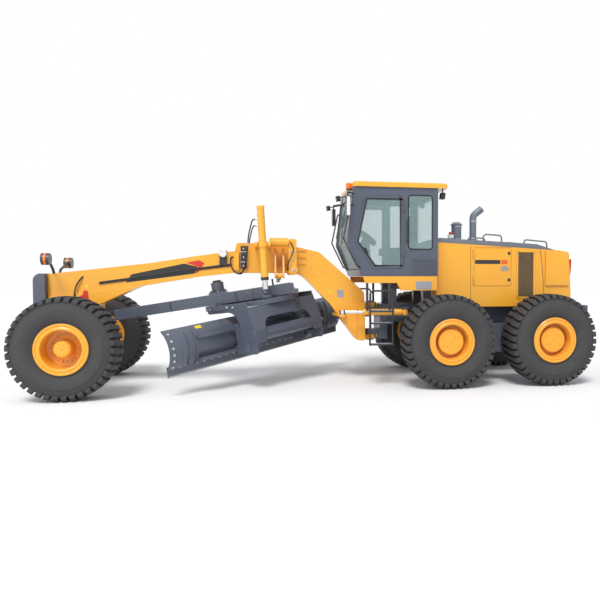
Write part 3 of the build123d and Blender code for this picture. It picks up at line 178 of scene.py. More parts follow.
def metal_group():
    """Bare metal: brushed grain, faint stains and fine scratches."""
    tree, shader, given, result = group(
        "bare metal",
        (
            ("Colour", "Color", STEEL), ("Stain", "Color", (0.25, 0.22, 0.19, 1)), ("Stains", "Float", 0.3),
            ("Roughness", "Float", 0.2), ("Grain", "Float", 0.05),
            ("Grain Scale", "Vector", (300.0, 300.0, 8.0)),
        ),
    )
    place = shader.put("TexCoord").outputs["Object"]
    drawn = shader.put("Mapping", {"Vector": place, "Scale": given["Grain Scale"]}).outputs[0]
    grain = shader.noise(drawn, 1.0, 3.0, 0.6)
    blot = shader.spread(shader.noise(place, 7.0, 6.0, 0.7), 0.45, 0.8)
    blot = shader.times(blot, given["Stains"])
    shader.feed(shader.mix(blot, given["Colour"], given["Stain"]), result["Colour"])
    rough = shader.math("ADD", given["Roughness"], shader.spread(grain, 0.3, 0.7, -0.05, 0.08))
    rough = shader.math("ADD", rough, shader.times(blot, 0.4), clamp=True)
    shader.feed(rough, result["Roughness"])
    rounded = shader.put("Bevel", {"Radius": 0.002}, samples=4)
    bump = shader.put("Bump", {
        "Strength": given["Grain"], "Distance": 0.001, "Height": grain, "Normal": rounded.outputs[0],
    })
    shader.feed(bump.outputs[0], result["Normal"])
    return tree


def rubber_group():
    """Rubber: lighter dusted grey on what sticks out and black in the grooves, set by ambient occlusion as
    dusting with painted light and shade; fine pitting and moulded rings.
    """
    tree, shader, given, result = group(
        "rubber skin",
        (
            ("Colour", "Color", RUBBER), ("Dusty And Lit", "Color", RUBBER_DUST_AND_LIGHT), ("Dust", "Float", 0.7),
            ("Roughness", "Float", 0.75), ("Pit Scale", "Float", 90.0), ("Pits", "Float", 0.25),
            ("Rings", "Float", 0.0),
        ),
    )
    place = shader.put("TexCoord").outputs["Object"]
    parts = shader.put("SeparateXYZ", {0: place}).outputs
    squares = shader.math("ADD", shader.times(parts[0], parts[0]), shader.times(parts[2], parts[2]))
    radius = shader.math("SQRT", squares)
    # Dusting with painted light and shade: ambient occlusion gives open surfaces the lighter grey and leaves
    # the grooves black.
    around = shader.put("AmbientOcclusion", {"Distance": 0.08}, samples=4)
    open_air = shader.spread(around.outputs["AO"], 0.35, 0.9)
    blotch = shader.spread(shader.noise(place, 6.0, 6.0, 0.65), 0.3, 0.7, 0.45, 1.0)
    dust_and_light = shader.times(shader.times(open_air, blotch), given["Dust"], clamp=True)
    shader.feed(shader.mix(dust_and_light, given["Colour"], given["Dusty And Lit"]), result["Colour"])
    rough = shader.math("ADD", given["Roughness"], shader.spread(blotch, 0.4, 1.0, -0.05, 0.1), clamp=True)
    shader.feed(rough, result["Roughness"])
    ring = shader.times(shader.math("SINE", shader.times(radius, 420.0)), given["Rings"])
    pits = shader.times(shader.noise(place, given["Pit Scale"], 4.0, 0.6), given["Pits"])
    rounded = shader.put("Bevel", {"Radius": 0.006}, samples=4)
    bump = shader.put("Bump", {
        "Strength": 0.6, "Distance": 0.006, "Height": shader.math("ADD", ring, pits),
        "Normal": rounded.outputs[0],
    })
    shader.feed(bump.outputs[0], result["Normal"])
    return tree


COATED = coat_group()
BARE = metal_group()
SKIN = rubber_group()


def surface(name, tree, values, **principled):
    """Material whose colour, roughness and normal come from a group with its own values."""
    material = bpy.data.materials.new(name)
    material.use_nodes = True
    shader = Shader(material.node_tree)
    shader_node = material.node_tree.nodes["Principled BSDF"]
    effect = shader.put("Group")
    effect.node_tree = tree
    for key, value in values.items():
        effect.inputs[key].default_value = value
    for output, socket in (("Colour", "Base Color"), ("Roughness", "Roughness"), ("Normal", "Normal")):
        shader.feed(effect.outputs[output], shader_node.inputs[socket])
    for key, value in principled.items():
        shader_node.inputs[key.replace("_", " ")].default_value = value
    return material


def paint(name, colour, shade, roughness=0.32, **values):
    """Sprayed enamel with its own values for dusting in hollows, which also paints shade there, and for edge
    wear with a painted highlight.
    """
    given = {"Colour": colour, "Shade": shade, "Roughness": roughness}
    given.update({key.replace("_", " "): value for key, value in values.items()})
    return surface(name, COATED, given, Specular_IOR_Level=0.45, Coat_Weight=0.25, Coat_Roughness=0.12)


# Each paint's amount for corners also sets painted shade there, and its amount for edges sets wear with a
# painted highlight.
yellow_paint = paint("yellow enamel", YELLOW, DEEP_YELLOW)
rim_paint = paint("rim enamel", (0.93, 0.40, 0.025, 1), (0.75, 0.27, 0.012, 1), 0.36, Dust=0.45)
slate_paint = paint("slate enamel", SLATE, DARK_SLATE, 0.4, Dust=0.35, Streaks=0.2)
blade_paint = paint("blade enamel", (0.10, 0.115, 0.155, 1), DARK_SLATE, 0.36, Dust=0.4, Streaks=0.35)
grey_paint = paint("cover enamel", GREY, SLATE, 0.45)
black_paint = paint("rail enamel", (0.03, 0.03, 0.035, 1), BLACK, 0.38, Dust=0.4)
silver_paint = paint("step enamel", (0.30, 0.32, 0.36, 1), GREY, 0.45, Dust=0.5)
red_paint = paint("red enamel", RED, (0.4, 0.01, 0.01, 1), 0.35)
decal_black = paint("black stripe film", (0.02, 0.02, 0.022, 1), BLACK, 0.3, Dust=0.1, Edge_Light=0.0)
decal_orange = paint("orange stripe film", (0.85, 0.12, 0.01, 1), (0.7, 0.08, 0.01, 1), 0.3,
                     Dust=0.1, Edge_Light=0.0)
decal_red = paint("red stripe film", RED, (0.5, 0.02, 0.01, 1), 0.3, Dust=0.1, Edge_Light=0.0)
decal_grey = paint("blank plate", (0.33, 0.34, 0.38, 1), (0.25, 0.26, 0.3, 1), 0.4, Dust=0.1)
decal_pale = paint("blank yellow film", (0.85, 0.62, 0.02, 1), (0.7, 0.5, 0.02, 1), 0.35, Dust=0.1)
white_plastic = surface("white plastic", COATED, {
    "Colour": WHITE, "Shade": (0.6, 0.6, 0.58, 1), "Roughness": 0.4, "Dust": 0.2, "Skin Scale": 400.0,
}, Specular_IOR_Level=0.4)
dark_plastic = surface("dark plastic", COATED, {
    "Colour": (0.025, 0.026, 0.03, 1), "Shade": BLACK, "Roughness": 0.5, "Dust": 0.3, "Skin Scale": 500.0,
    "Skin Height": 0.2, "Edge Light": 0.1,
}, Specular_IOR_Level=0.4)
cab_trim = surface("cab trim", COATED, {
    "Colour": (0.05, 0.055, 0.06, 1), "Shade": (0.03, 0.03, 0.035, 1), "Roughness": 0.6, "Dust": 0.2,
    "Skin Scale": 350.0, "Skin Height": 0.3, "Edge Light": 0.1,
})
iron = surface("cast iron", COATED, {
    "Colour": (0.12, 0.12, 0.12, 1), "Shade": (0.07, 0.07, 0.07, 1), "Roughness": 0.65, "Dust": 0.8,
    "Skin Scale": 120.0, "Skin Height": 0.5,
})
# Tyre: lighter on open surfaces and black in the grooves, dusting together with painted light and shade.
tyre_rubber = surface("tyre rubber", SKIN, {"Rings": 0.0}, Specular_IOR_Level=0.35)
seal_rubber = surface("seal rubber", SKIN, {
    "Colour": (0.012, 0.012, 0.013, 1), "Dusty And Lit": (0.03, 0.03, 0.032, 1), "Dust": 0.3, "Roughness": 0.55,
    "Pit Scale": 300.0,
})
hose_rubber = surface("hose rubber", SKIN, {
    "Colour": (0.012, 0.012, 0.013, 1), "Dusty And Lit": (0.035, 0.035, 0.037, 1), "Dust": 0.4, "Roughness": 0.5,
    "Pit Scale": 500.0, "Pits": 0.4,
})
chrome = surface("chromed rod", BARE, {"Colour": (0.75, 0.76, 0.78, 1), "Roughness": 0.1, "Stains": 0.15},
                 Metallic=1.0)
zinc = surface("zinc plating", BARE, {"Colour": (0.55, 0.56, 0.57, 1), "Roughness": 0.38}, Metallic=1.0)
grille_paint = paint("grille enamel", (0.22, 0.12, 0.03, 1), (0.10, 0.06, 0.02, 1), 0.5, Dust=0.6)
worn_steel = surface("worn steel", BARE, {
    "Colour": (0.42, 0.42, 0.43, 1), "Roughness": 0.36, "Stains": 0.6, "Grain": 0.3,
}, Metallic=1.0)
mirror_glass = surface("mirror silver", BARE, {
    "Colour": (0.85, 0.88, 0.88, 1), "Roughness": 0.04, "Stains": 0.05, "Grain": 0.0,
}, Metallic=1.0)


def clear(name, tint, roughness=0.02, alpha=None, emission=None):
    """Thin see-through pane: tinted, with smears that show at a low angle."""
    material = bpy.data.materials.new(name)
    material.use_nodes = True
    shader = Shader(material.node_tree)
    node = material.node_tree.nodes["Principled BSDF"]
    place = shader.put("TexCoord").outputs["Object"]
    smear = shader.spread(shader.noise(place, 3.5, 5.0, 0.7), 0.4, 0.8, roughness, roughness + 0.10)
    shader.feed(smear, node.inputs["Roughness"])
    cloud = shader.spread(shader.noise(place, 1.4, 3.0), 0.3, 0.7)
    darker = tuple(channel * 0.85 for channel in tint[:3]) + (1,)
    shader.feed(shader.mix(cloud, tint, darker), node.inputs["Base Color"])
    node.inputs["IOR"].default_value = 1.45
    if alpha is None:
        node.inputs["Transmission Weight"].default_value = 1.0
    else:
        node.inputs["Alpha"].default_value = alpha
    return material


cab_pane = clear("cab pane", (0.42, 0.60, 0.60, 1), 0.015, alpha=0.28)
amber_lens = clear("amber lens", (0.95, 0.22, 0.02, 1), 0.12, alpha=0.93)
red_lens = clear("red lens", (0.6, 0.01, 0.01, 1), 0.12, alpha=0.95)
lamp_lens = clear("lamp lens", (0.82, 0.86, 0.88, 1), 0.05, alpha=0.6)

FINISH = (
    # material, CAD nodes
    (yellow_paint, ("hood", "service_door_left", "service_door_right", "cab_roof", "cab_skirt", "front_frame",
                    "saddle", "lift_barrel_left", "lift_barrel_right", "shift_barrel", "artic_barrel_left",
                    "artic_barrel_right")),
    (slate_paint, ("rear_frame", "tandem_drive", "cab_frame", "door_left", "door_right", "front_block",
                   "front_axle", "lean_left", "lean_right", "lean_bar", "knuckle_left", "knuckle_right",
                   "tie_rod_end", "tie_rod", "drawbar", "circle", "blade_carrier", "drawbar_ball")),
    (blade_paint, ("moldboard",)),
    (rim_paint, [name for name in NODES if name.startswith("rim_")]),
    (grey_paint, ("hood_top", "stacks")),
    (black_paint, ("steps_and_rails", "mirrors_and_lamps", "front_lamps")),
    (hose_rubber, ("hoses",)),
    (cab_trim, ("cab_interior",)),
    (cab_pane, ("cab_glass", "door_left_glass", "door_right_glass")),
    (iron, ("engine",)),
    (chrome, ("lift_rod_left", "lift_rod_right", "shift_rod", "side_shift_rod", "artic_rod_left",
              "artic_rod_right")),
)
for material, names in FINISH:
    for name in names:
        NODES[name].data.materials.clear()
        NODES[name].data.materials.append(material)


# Mesh helpers

AXIS_R = 0.0001


class Shape:
    """A mesh made of closed forms, each added at a place. One with a side, 1 or -1, mirrors points to it."""

    def __init__(self, side=None):
        self.mesh = bmesh.new()
        self.sign = side or 1
        self.side_name = SIDE_NAMES.get(side, "")

    def add(self, points, faces, place=Matrix()):
        corners = [self.mesh.verts.new(place @ Vector(point)) for point in points]
        for face in faces:
            self.mesh.faces.new([corners[index] for index in face])
        return self

    def prism(self, outline, depth, place=Matrix()):
        """Outline of (a, b) points pushed along the place's third axis by depth."""
        count = len(outline)
        points = [(a, b, 0) for a, b in outline] + [(a, b, depth) for a, b in outline]
        faces = [tuple(reversed(range(count))), tuple(range(count, 2 * count))]
        faces += [(i, (i + 1) % count, (i + 1) % count + count, i + count) for i in range(count)]
        return self.add(points, faces, place)

    def box(self, low, high, place=Matrix()):
        (x0, y0, z0), (x1, y1, z1) = low, high
        return self.prism(oblong(x0, y0, x1, y1), z1 - z0, place @ at(0, 0, z0))

    def flat(self, outline, depth, y):
        """Prism of (x, z) points that stands out from the side face at y."""
        return self.prism(outline, depth, side_face(y, self.sign))

    def slab(self, low, high, y):
        """Box in (x, z, out) that stands on the side face at y."""
        return self.box(low, high, side_face(y, self.sign))

    def band(self, outer, inner, depth, place=Matrix()):
        """Closed frame between two outlines with the same number of points."""
        count = len(outer)
        points = [(a, b, z) for z in (0, depth) for ring in (outer, inner) for a, b in ring]
        faces = []
        for i in range(count):
            j = (i + 1) % count
            faces += [(i, j, j + count, i + count),
                      (i + 2 * count, i + 3 * count, j + 3 * count, j + 2 * count),
                      (i, i + 2 * count, j + 2 * count, j),
                      (i + count, j + count, j + 3 * count, i + 3 * count)]
        return self.add(points, faces, place)

    def lathe(self, profile, steps, place=Matrix()):
        """Profile of (radius, height) points turned about the place's third axis."""
        count = len(profile)
        points = []
        for step in range(steps):
            angle = tau * step / steps
            points += [(radius * cos(angle), radius * sin(angle), height) for radius, height in profile]
        faces = []
        for step in range(steps):
            here, there = step * count, (step + 1) % steps * count
            faces += [(here + i, there + i, there + i + 1, here + i + 1) for i in range(count - 1)]
        return self.add(points, faces, place)

    def turned(self, profile, steps, place=Matrix()):
        """Lathe form whose profile is brought in to the axis at both ends."""
        return self.lathe([(AXIS_R, profile[0][1])] + profile + [(AXIS_R, profile[-1][1])], steps, place)

    def mirrored(self, points):
        return [Vector((x, self.sign * y, z)) for x, y, z in points]

    def rod(self, start, end, radius, steps=20):
        """Round bar with slightly broken ends from one point to another."""
        start, end = self.mirrored((start, end))
        along = end - start
        length = along.length
        place = Matrix.Translation(start) @ along.to_track_quat("Z", "Y").to_matrix().to_4x4()
        chamfer = min(0.1 * radius, 0.002)
        return self.turned([(radius - chamfer, 0), (radius, chamfer), (radius, length - chamfer),
                            (radius - chamfer, length)], steps, place)

    def tube(self, points, radius, steps=12, per_span=7):
        """Round hose through the points, smoothed between them, with closed ends."""
        path = smooth_path(self.mirrored(points), per_span)
        normal = (path[1] - path[0]).orthogonal().normalized()
        corners = []
        for index, point in enumerate(path):
            ahead = (path[min(index + 1, len(path) - 1)] - path[max(index - 1, 0)]).normalized()
            normal = (normal - ahead * normal.dot(ahead)).normalized()
            across = ahead.cross(normal)
            for step in range(steps):
                angle = tau * step / steps
                corners.append(point + (normal * cos(angle) + across * sin(angle)) * radius)
        faces = [tuple(reversed(range(steps))), tuple(range(len(corners) - steps, len(corners)))]
        for index in range(len(path) - 1):
            for step in range(steps):
                a, b = index * steps + step, index * steps + (step + 1) % steps
                faces.append((a, b, b + steps, a + steps))
        return self.add(corners, faces)

    def bolt(self, place, size):
        """Hexagon head on a washer, pointing along the place's third axis; size is across the corners."""
        radius = size / 2
        self.turned([(radius * 1.2, 0), (radius * 1.2, radius * 0.22)], 12, place)
        return self.turned([(radius, 0), (radius, radius * 0.75), (radius * 0.84, radius * 0.92)], 6, place)

    def bolts(self, size, y, *spots):
        """Bolts that point outward at (x, z) spots of the side face at y."""
        for x, z in spots:
            self.bolt(facing(x, self.sign * y, z, (0, self.sign, 0)), size)
        return self

    def data(self, name):
        """Mesh data with its faces turned outward."""
        bmesh.ops.recalc_face_normals(self.mesh, faces=self.mesh.faces)
        data = bpy.data.meshes.new(name)
        self.mesh.to_mesh(data)
        self.mesh.free()
        return data

    def piece(self, name, body, slot, material, bevel=0.0):
        """Object that rides on a body. Its name, and a body's that ends in _, take the side's name."""
        if self.side_name:
            name = f"{name}_{self.side_name}"
        if body.endswith("_"):
            body += self.side_name
        return place_piece(name, self.data(name), body, material, bevel)


def place_piece(name, data, body, material, bevel=0.0, place=Matrix()):
    """An object with one material that rides on a body."""
    made = bpy.data.objects.new(name, data)
    bpy.context.scene.collection.objects.link(made)
    made.matrix_world = place
    if not data.materials:
        data.materials.append(material)
    data.shade_smooth()
    data.set_sharp_from_angle(angle=radians(32))
    if bevel:
        edge = made.modifiers.new("broken edges", "BEVEL")
        edge.width = bevel
        edge.segments = 2
        edge.limit_method = "ANGLE"
        edge.angle_limit = radians(35)
        edge.harden_normals = True
    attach(made, body)
    return made


def at(x, y, z):
    return Matrix.Translation((x, y, z))


def oblong(x0, z0, x1, z1, radius=0):
    """Rectangle's outline, with rounded corners where a radius is given."""
    return rounded([(x0, z0, radius), (x1, z0, radius), (x1, z1, radius), (x0, z1, radius)])


def smooth_path(points, per_span):
    """Points of a smooth line through the given ones."""
    given = [Vector(point) for point in points]
    ends = [given[0] * 2 - given[1]] + given + [given[-1] * 2 - given[-2]]
    path = []
    for index in range(len(given) - 1):
        a, b, c, d = ends[index:index + 4]
        for step in range(per_span):
            t = step / per_span
            path.append(0.5 * (2 * b + (c - a) * t + (2 * a - 5 * b + 4 * c - d) * t ** 2
                               + (3 * b - a - 3 * c + d) * t ** 3))
    return path + [given[-1]]


def facing(x=0.0, y=0.0, z=0.0, toward=(0, 1, 0), turn=0.0):
    """Place at a point whose third axis looks in a direction."""
    rotation = Vector(toward).to_track_quat("Z", "Y").to_matrix().to_4x4()
    return Matrix.Translation((x, y, z)) @ rotation @ Matrix.Rotation(turn, 4, "Z")


def side_face(y, side):
    """Place whose first two axes are the machine's X and Z, pushed outward from the plane at y."""
    if side > 0:
        return Matrix(((1, 0, 0, 0), (0, 0, 1, y), (0, 1, 0, 0), (0, 0, 0, 1)))
    return Matrix(((1, 0, 0, 0), (0, 0, -1, -y), (0, 1, 0, 0), (0, 0, 0, 1)))


def rounded(points, steps=6):
    """Outline with its (a, b, radius) corners rounded by short chords."""
    result = []
    for index, point in enumerate(points):
        if len(point) == 2 or not point[2]:
            result.append(point[:2])
            continue
        here = Vector(point[:2])
        before = (Vector(points[index - 1][:2]) - here).normalized()
        after = (Vector(points[(index + 1) % len(points)][:2]) - here).normalized()
        half = before.angle(after) / 2
        middle = here + (before + after).normalized() * (point[2] / sin(half))
        reach = point[2] * cos(half) / sin(half)
        start = here + before * reach - middle
        end = here + after * reach - middle
        turn = start.angle_signed(end)
        for step in range(steps + 1):
            spin = Matrix.Rotation(-turn * step / steps, 2)
            result.append(tuple(middle + spin @ start))
    return result


def inset(outline, distance):
    """Outline moved inward by a distance, or outward where it is negative."""
    area = sum(a[0] * b[1] - b[0] * a[1] for a, b in zip(outline, outline[1:] + outline[:1]))
    sign = 1 if area > 0 else -1
    result = []
    for index, point in enumerate(outline):
        here = Vector(point)
        before = here - Vector(outline[index - 1])
        after = Vector(outline[(index + 1) % len(outline)]) - here
        if before.length < 1e-9 or after.length < 1e-9:
            before = after = before + after
        before.normalize()
        after.normalize()
        normal = (before + after).normalized()
        normal = Vector((-normal.y, normal.x)) * sign
        reach = distance / max(0.3, normal.dot(Vector((-before.y, before.x)) * sign))
        result.append(tuple(here + normal * reach))
    return result


# Wheels

TYRE_R = 0.8
WHEEL_Y = 1.24
FRONT_X = 4.135
MIDDLE_X = -1.965
REAR_X = -3.815
LUGS = 38
WHEELS = (
    # name, x, side
    ("front_left", FRONT_X, 1), ("front_right", FRONT_X, -1), ("middle_left", MIDDLE_X, 1),
    ("middle_right", MIDDLE_X, -1), ("rear_left", REAR_X, 1), ("rear_right", REAR_X, -1),
)
WHEEL_TO_AXLE = Matrix.Rotation(-pi / 2, 4, "X")


def tyre_mesh():
    """Carcass with rounded sidewalls and two staggered rows of slanted lugs; the axle is Y."""
    shape = Shape()
    half = [
        (0.3185, 0.228), (0.345, 0.243), (0.392, 0.247), (0.408, 0.238), (0.424, 0.243), (0.47, 0.277),
        (0.53, 0.295), (0.575, 0.2985), (0.60, 0.2985), (0.606, 0.2935), (0.66, 0.284), (0.70, 0.268),
        (0.728, 0.243), (0.752, 0.17), (0.757, 0.08),
    ]
    profile = [(radius, -y) for radius, y in half] + [(0.758, 0)]
    profile += [(radius, y) for radius, y in reversed(half)]
    profile.append(profile[0])
    shape.lathe(profile, 96, WHEEL_TO_AXLE)
    pitch = tau / LUGS
    stations = (
        # y, top radius, bottom radius, slant in pitches, half width in pitches
        (-0.012, 0.799, 0.75, 0.46, 0.15),
        (0.055, 0.7985, 0.75, 0.36, 0.33),
        (0.15, 0.7955, 0.745, 0.17, 0.36),
        (0.235, 0.789, 0.72, 0.03, 0.37),
        (0.272, 0.768, 0.70, 0.0, 0.37),
        (0.291, 0.735, 0.685, 0.0, 0.35),
    )
    for side in (1, -1):
        for lug in range(LUGS):
            centre = pitch * (lug + (0.25 if side > 0 else -0.25))
            points = []
            for y, top, bottom, slant, width in stations:
                middle = centre + side * slant * pitch * 0.6
                for radius, spread in ((bottom, 1.12), (top, 0.88)):
                    for turn in (-1, 1):
                        angle = middle + turn * spread * width * pitch
                        inner_y = y - (0.03 if radius == bottom and y > 0.25 else 0)
                        points.append((radius * cos(angle), side * inner_y, radius * sin(angle)))
            faces = [(0, 1, 3, 2), tuple(len(points) - 4 + i for i in (0, 2, 3, 1))]
            for index in range(len(stations) - 1):
                a = index * 4
                faces += [(a, a + 2, a + 6, a + 4), (a + 2, a + 3, a + 7, a + 6),
                          (a + 3, a + 1, a + 5, a + 7), (a + 1, a, a + 4, a + 5)]
            shape.add(points, faces)
    return shape.data("tyre")


def lip_mesh():
    """Stepped lock ring round the rim's flange; the outer face looks along +Y."""
    profile = [(0.300, 0.2525), (0.300, 0.262), (0.318, 0.268), (0.335, 0.262), (0.342, 0.256),
               (0.356, 0.256), (0.362, 0.268), (0.380, 0.272), (0.392, 0.262), (0.394, 0.2525),
               (0.300, 0.2525)]
    return Shape().lathe(profile, 72, WHEEL_TO_AXLE).data("rim lip")


def wheel_nuts(front):
    """Bolts and plugs on a rim whose outer face looks along +Y."""
    shape = Shape()

    def nut(x, y, z, size):
        shape.bolt(at(x, y, z) @ WHEEL_TO_AXLE, size)

    def nuts(count, offset, radius, y, size):
        for index in range(count):
            angle = tau * (index + offset) / count
            nut(radius * cos(angle), y, radius * sin(angle), size)

    if front:
        nuts(20, 0, 0.212, -0.019 + 0.0035, 0.036)
        nuts(8, 0.5, 0.075, 0.2245, 0.02)
        nut(0, 0.2245, 0, 0.03)
    else:
        nuts(6, 0.5, 0.150, 0.1845, 0.024)
        for x, z in ((0, 0), (-0.06, 0.07), (0.062, -0.07)):
            nut(x, 0.1845, z, 0.026)
    return shape.data("wheel nuts")


def build_wheels():
    tyre_data = tyre_mesh()
    tyre_data.materials.append(tyre_rubber)
    nuts = {True: wheel_nuts(True), False: wheel_nuts(False)}
    lip = lip_mesh()
    for name, x, side in WHEELS:
        body = f"wheel_{name}"
        place = at(x, side * WHEEL_Y, TYRE_R) @ Matrix.Rotation(0 if side > 0 else pi, 4, "Z")
        tyre = place_piece(f"tyre_tread_{name}", tyre_data, body, tyre_rubber, 0.004, place)
        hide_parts(f"tyre_{name}")
        place_piece(f"rim_lip_{name}", lip, body, rim_paint, place=place)
        nut_data = nuts[name.startswith("front")]
        place_piece(f"wheel_nuts_{name}", nut_data, body, rim_paint, place=place)


build_wheels()


# Front frame: stripes, lamps, hose loop, valve block, yoke and small plates

BEAM_Y = 0.17
FILM = 0.0008
OFF_FACE = 0.0003
BEAM_FILMS = (
    # name, material, slot, outline in X and Z
    ("stripe", decal_black, "black",
     ((3.47, 1.795), (3.38, 1.938), (2.50, 2.128), (2.27, 2.072), (2.33, 1.950))),
    ("chevron", decal_red, "yellow",
     ((2.475, 2.142), (2.25, 2.188), (2.155, 2.135), (2.27, 1.965), (2.325, 1.955), (2.262, 2.074))),
    ("plate", decal_grey, "grey", ((-0.19, 1.52), (-0.31, 1.52), (-0.31, 1.66), (-0.19, 1.66))),
    ("caution_film", decal_pale, "yellow", ((-0.03, 1.60), (-0.10, 1.60), (-0.10, 1.65), (-0.03, 1.65))),
    ("nose_film", decal_pale, "yellow", ((4.14, 1.70), (4.07, 1.70), (4.07, 1.76), (4.14, 1.76))),
)


def build_beam_films():
    for name, material, slot, outline in BEAM_FILMS:
        for side in SIDES:
            Shape(side).flat(outline, FILM, BEAM_Y).piece(f"beam_{name}", "front", slot, material)


def build_beam_ribs():
    """Step ribs on the gooseneck and weld beads on the beam's sides."""
    for side in SIDES:
        ribs = Shape(side)
        for z in (2.126, 2.246, 2.367):
            ribs.slab((0.377, z - 0.006, -0.01), (0.532, z + 0.006, 0.022), BEAM_Y)
        ribs.piece("beam_ribs", "front", "yellow", yellow_paint, 0.002)
        bead = Shape(side)
        for points in (((0.30, 2.08), (0.25, 1.95), (0.188, 1.905), (0.11, 1.93), (0.065, 1.99)),
                       ((3.89, 1.72), (3.92, 1.58), (3.94, 1.46))):
            bead.tube([(x, BEAM_Y, z) for x, z in points], 0.006, 8)
        bead.piece("beam_welds", "front", "yellow", yellow_paint)


def build_front_lamps():
    for side, x, z in ((1, 4.610, 2.183), (-1, 4.585, 2.145)):
        spot = facing(x + 0.0605, side * 0.55, z, (1, 0, 0))
        Shape(side).lathe([(AXIS_R, 0.004), (0.05, 0.0075), (0.08, 0.004), (0.084, 0.0), (AXIS_R, 0.0)], 40,
                          spot).piece("lamp_lens", "front", "glass", lamp_lens)
        Shape(side).lathe([(0.082, 0), (0.097, 0), (0.097, 0.007), (0.094, 0.010), (0.084, 0.010),
                           (0.082, 0)], 40, spot).piece("lamp_ring", "front", "black", dark_plastic, 0.001)
        Shape(side).lathe([(0.0955, 0), (0.0985, 0.003), (0.0985, 0.037), (0.0955, 0.04), (0.0955, 0)], 40,
                          facing(x - 0.010, side * 0.55, z, (1, 0, 0))
                          ).piece("turn_lamp", "front", "glass", amber_lens)


def build_puck_lamp():
    """Round work lamp on a dark fin at the side of the beam."""
    for side in SIDES:
        Shape(side).slab((1.775, 2.10, 0.0), (1.900, 2.36, 0.016), BEAM_Y + 0.02).slab(
            (1.80, 2.12, -0.001), (1.875, 2.20, 0.021), BEAM_Y
        ).piece("work_lamp_fin", "front", "black", black_paint, 0.003)
        Shape(side).turned([(0.062, 0), (0.066, 0.02), (0.066, 0.045), (0.060, 0.05)], 36,
                           facing(1.837, side * (BEAM_Y + 0.036), 2.305, (0, side, 0))
                           ).piece("work_lamp", "front", "trim", white_plastic, 0.001)


def build_valve_block():
    """Lift valve with its fittings, and the hose that loops up to the lift cylinder's pivot."""
    for side in SIDES:
        face = BEAM_Y + 0.0005
        Shape(side).flat(oblong(1.43, 2.04, 1.53, 2.44), 0.10, face).piece(
            "lift_valve", "front", "black", black_paint, 0.005)
        bands = Shape(side)
        for z in (2.15, 2.33):
            bands.slab((1.428, z, 0.02), (1.532, z + 0.012, 0.102), face)
        bands.bolts(0.026, BEAM_Y + 0.1005, (1.48, 2.09), (1.48, 2.24), (1.48, 2.39))
        bands.piece("lift_valve_bands", "front", "chrome", zinc)
        Shape(side).tube([(1.40, 0.60, 2.45), (1.415, 0.57, 2.30), (1.44, 0.48, 2.12), (1.49, 0.38, 1.995),
                          (1.58, 0.31, 1.95), (1.67, 0.28, 2.03), (1.705, 0.25, 2.16), (1.70, 0.20, 2.235),
                          (1.66, 0.165, 2.245)], 0.012).piece("lift_hoses", "front", "hose", hose_rubber)
        Shape(side).tube([(1.40, 0.60, 2.45), (1.385, 0.60, 2.60), (1.345, 0.62, 2.78), (1.315, 0.64, 2.86),
                          (1.265, 0.65, 2.875)], 0.012
                         ).piece("lift_riser", "lift_barrel_", "hose", hose_rubber)
        Shape(side).rod((1.20, 0.65, 2.875), (1.275, 0.65, 2.875), 0.019, 6).rod(
            (1.39, 0.60, 2.425), (1.405, 0.60, 2.475), 0.018, 12
        ).piece("lift_fitting", "lift_barrel_", "chrome", zinc, 0.001)


LIFT_TOP = Vector((1.185, 0.65, 3.10))


def build_cylinder_ends():
    """Gland nuts and caps on the lift barrels."""
    ball = DRAWBAR_PLACE @ Vector((-2.760, 0, 0))
    along = (LIFT_TOP - Vector((ball.x, LIFT_TOP.y, ball.z))).normalized()

    def point(z):
        return LIFT_TOP - along * ((LIFT_TOP.z - z) / along.z)

    for side in SIDES:
        Shape(side).rod(point(3.045), point(3.1035), 0.066, 40).rod(point(2.60), point(2.615), 0.065, 40).rod(
            point(2.28), point(2.295), 0.065, 40
        ).piece("lift_cap", "lift_barrel_", "yellow", yellow_paint, 0.003)
        end = point(1.842)
        place = at(end.x, side * end.y, end.z) @ along.to_track_quat("Z", "Y").to_matrix().to_4x4()
        Shape(side).lathe([(0.0485, 0), (0.064, 0), (0.066, 0.004), (0.066, 0.05), (0.0635, 0.054),
                           (0.0635, 0.0545), (0.0485, 0)], 40, place @ at(0, 0, -0.004)
                          ).piece("lift_gland", "lift_barrel_", "black", black_paint, 0.001)


def build_yoke():
    """Lock cylinder and plates of the lift yoke behind the lift cylinders."""
    for side in SIDES:
        Shape(side).rod((0.70, 0.42, 2.50), (1.032, 0.42, 2.50), 0.078, 40).rod(
            (0.69, 0.42, 2.50), (0.70, 0.42, 2.50), 0.05, 24
        ).piece("yoke_lock", "front", "yellow", yellow_paint, 0.004)
        plate = rounded([(0.56, 1.93, 0.05), (0.70, 1.93, 0.05), (0.70, 2.56, 0.04), (0.56, 2.56, 0.04)])
        Shape(side).flat(plate, 0.03, 0.405).slab((0.56, 2.42, 0.16), (0.60, 2.50, 0.42), 0).rod(
            (0.61, 0.40, 2.02), (0.61, 0.475, 2.02), 0.065, 36
        ).piece("yoke_plate", "front", "yellow", yellow_paint, 0.003)
        Shape(side).bolts(0.028, 0.435, (0.595, 2.20), (0.665, 2.20), (0.595, 2.34), (0.665, 2.34)).bolts(
            0.05, 0.475, (0.61, 2.02)).piece("yoke_bolts", "front", "chrome", zinc)
        Shape(side).tube([(0.66, 0.47, 2.50), (0.62, 0.50, 2.36), (0.70, 0.50, 2.15), (0.72, 0.44, 2.02),
                          (0.71, 0.30, 2.03), (0.70, 0.175, 2.10)], 0.011
                         ).piece("yoke_hose", "front", "hose", hose_rubber)


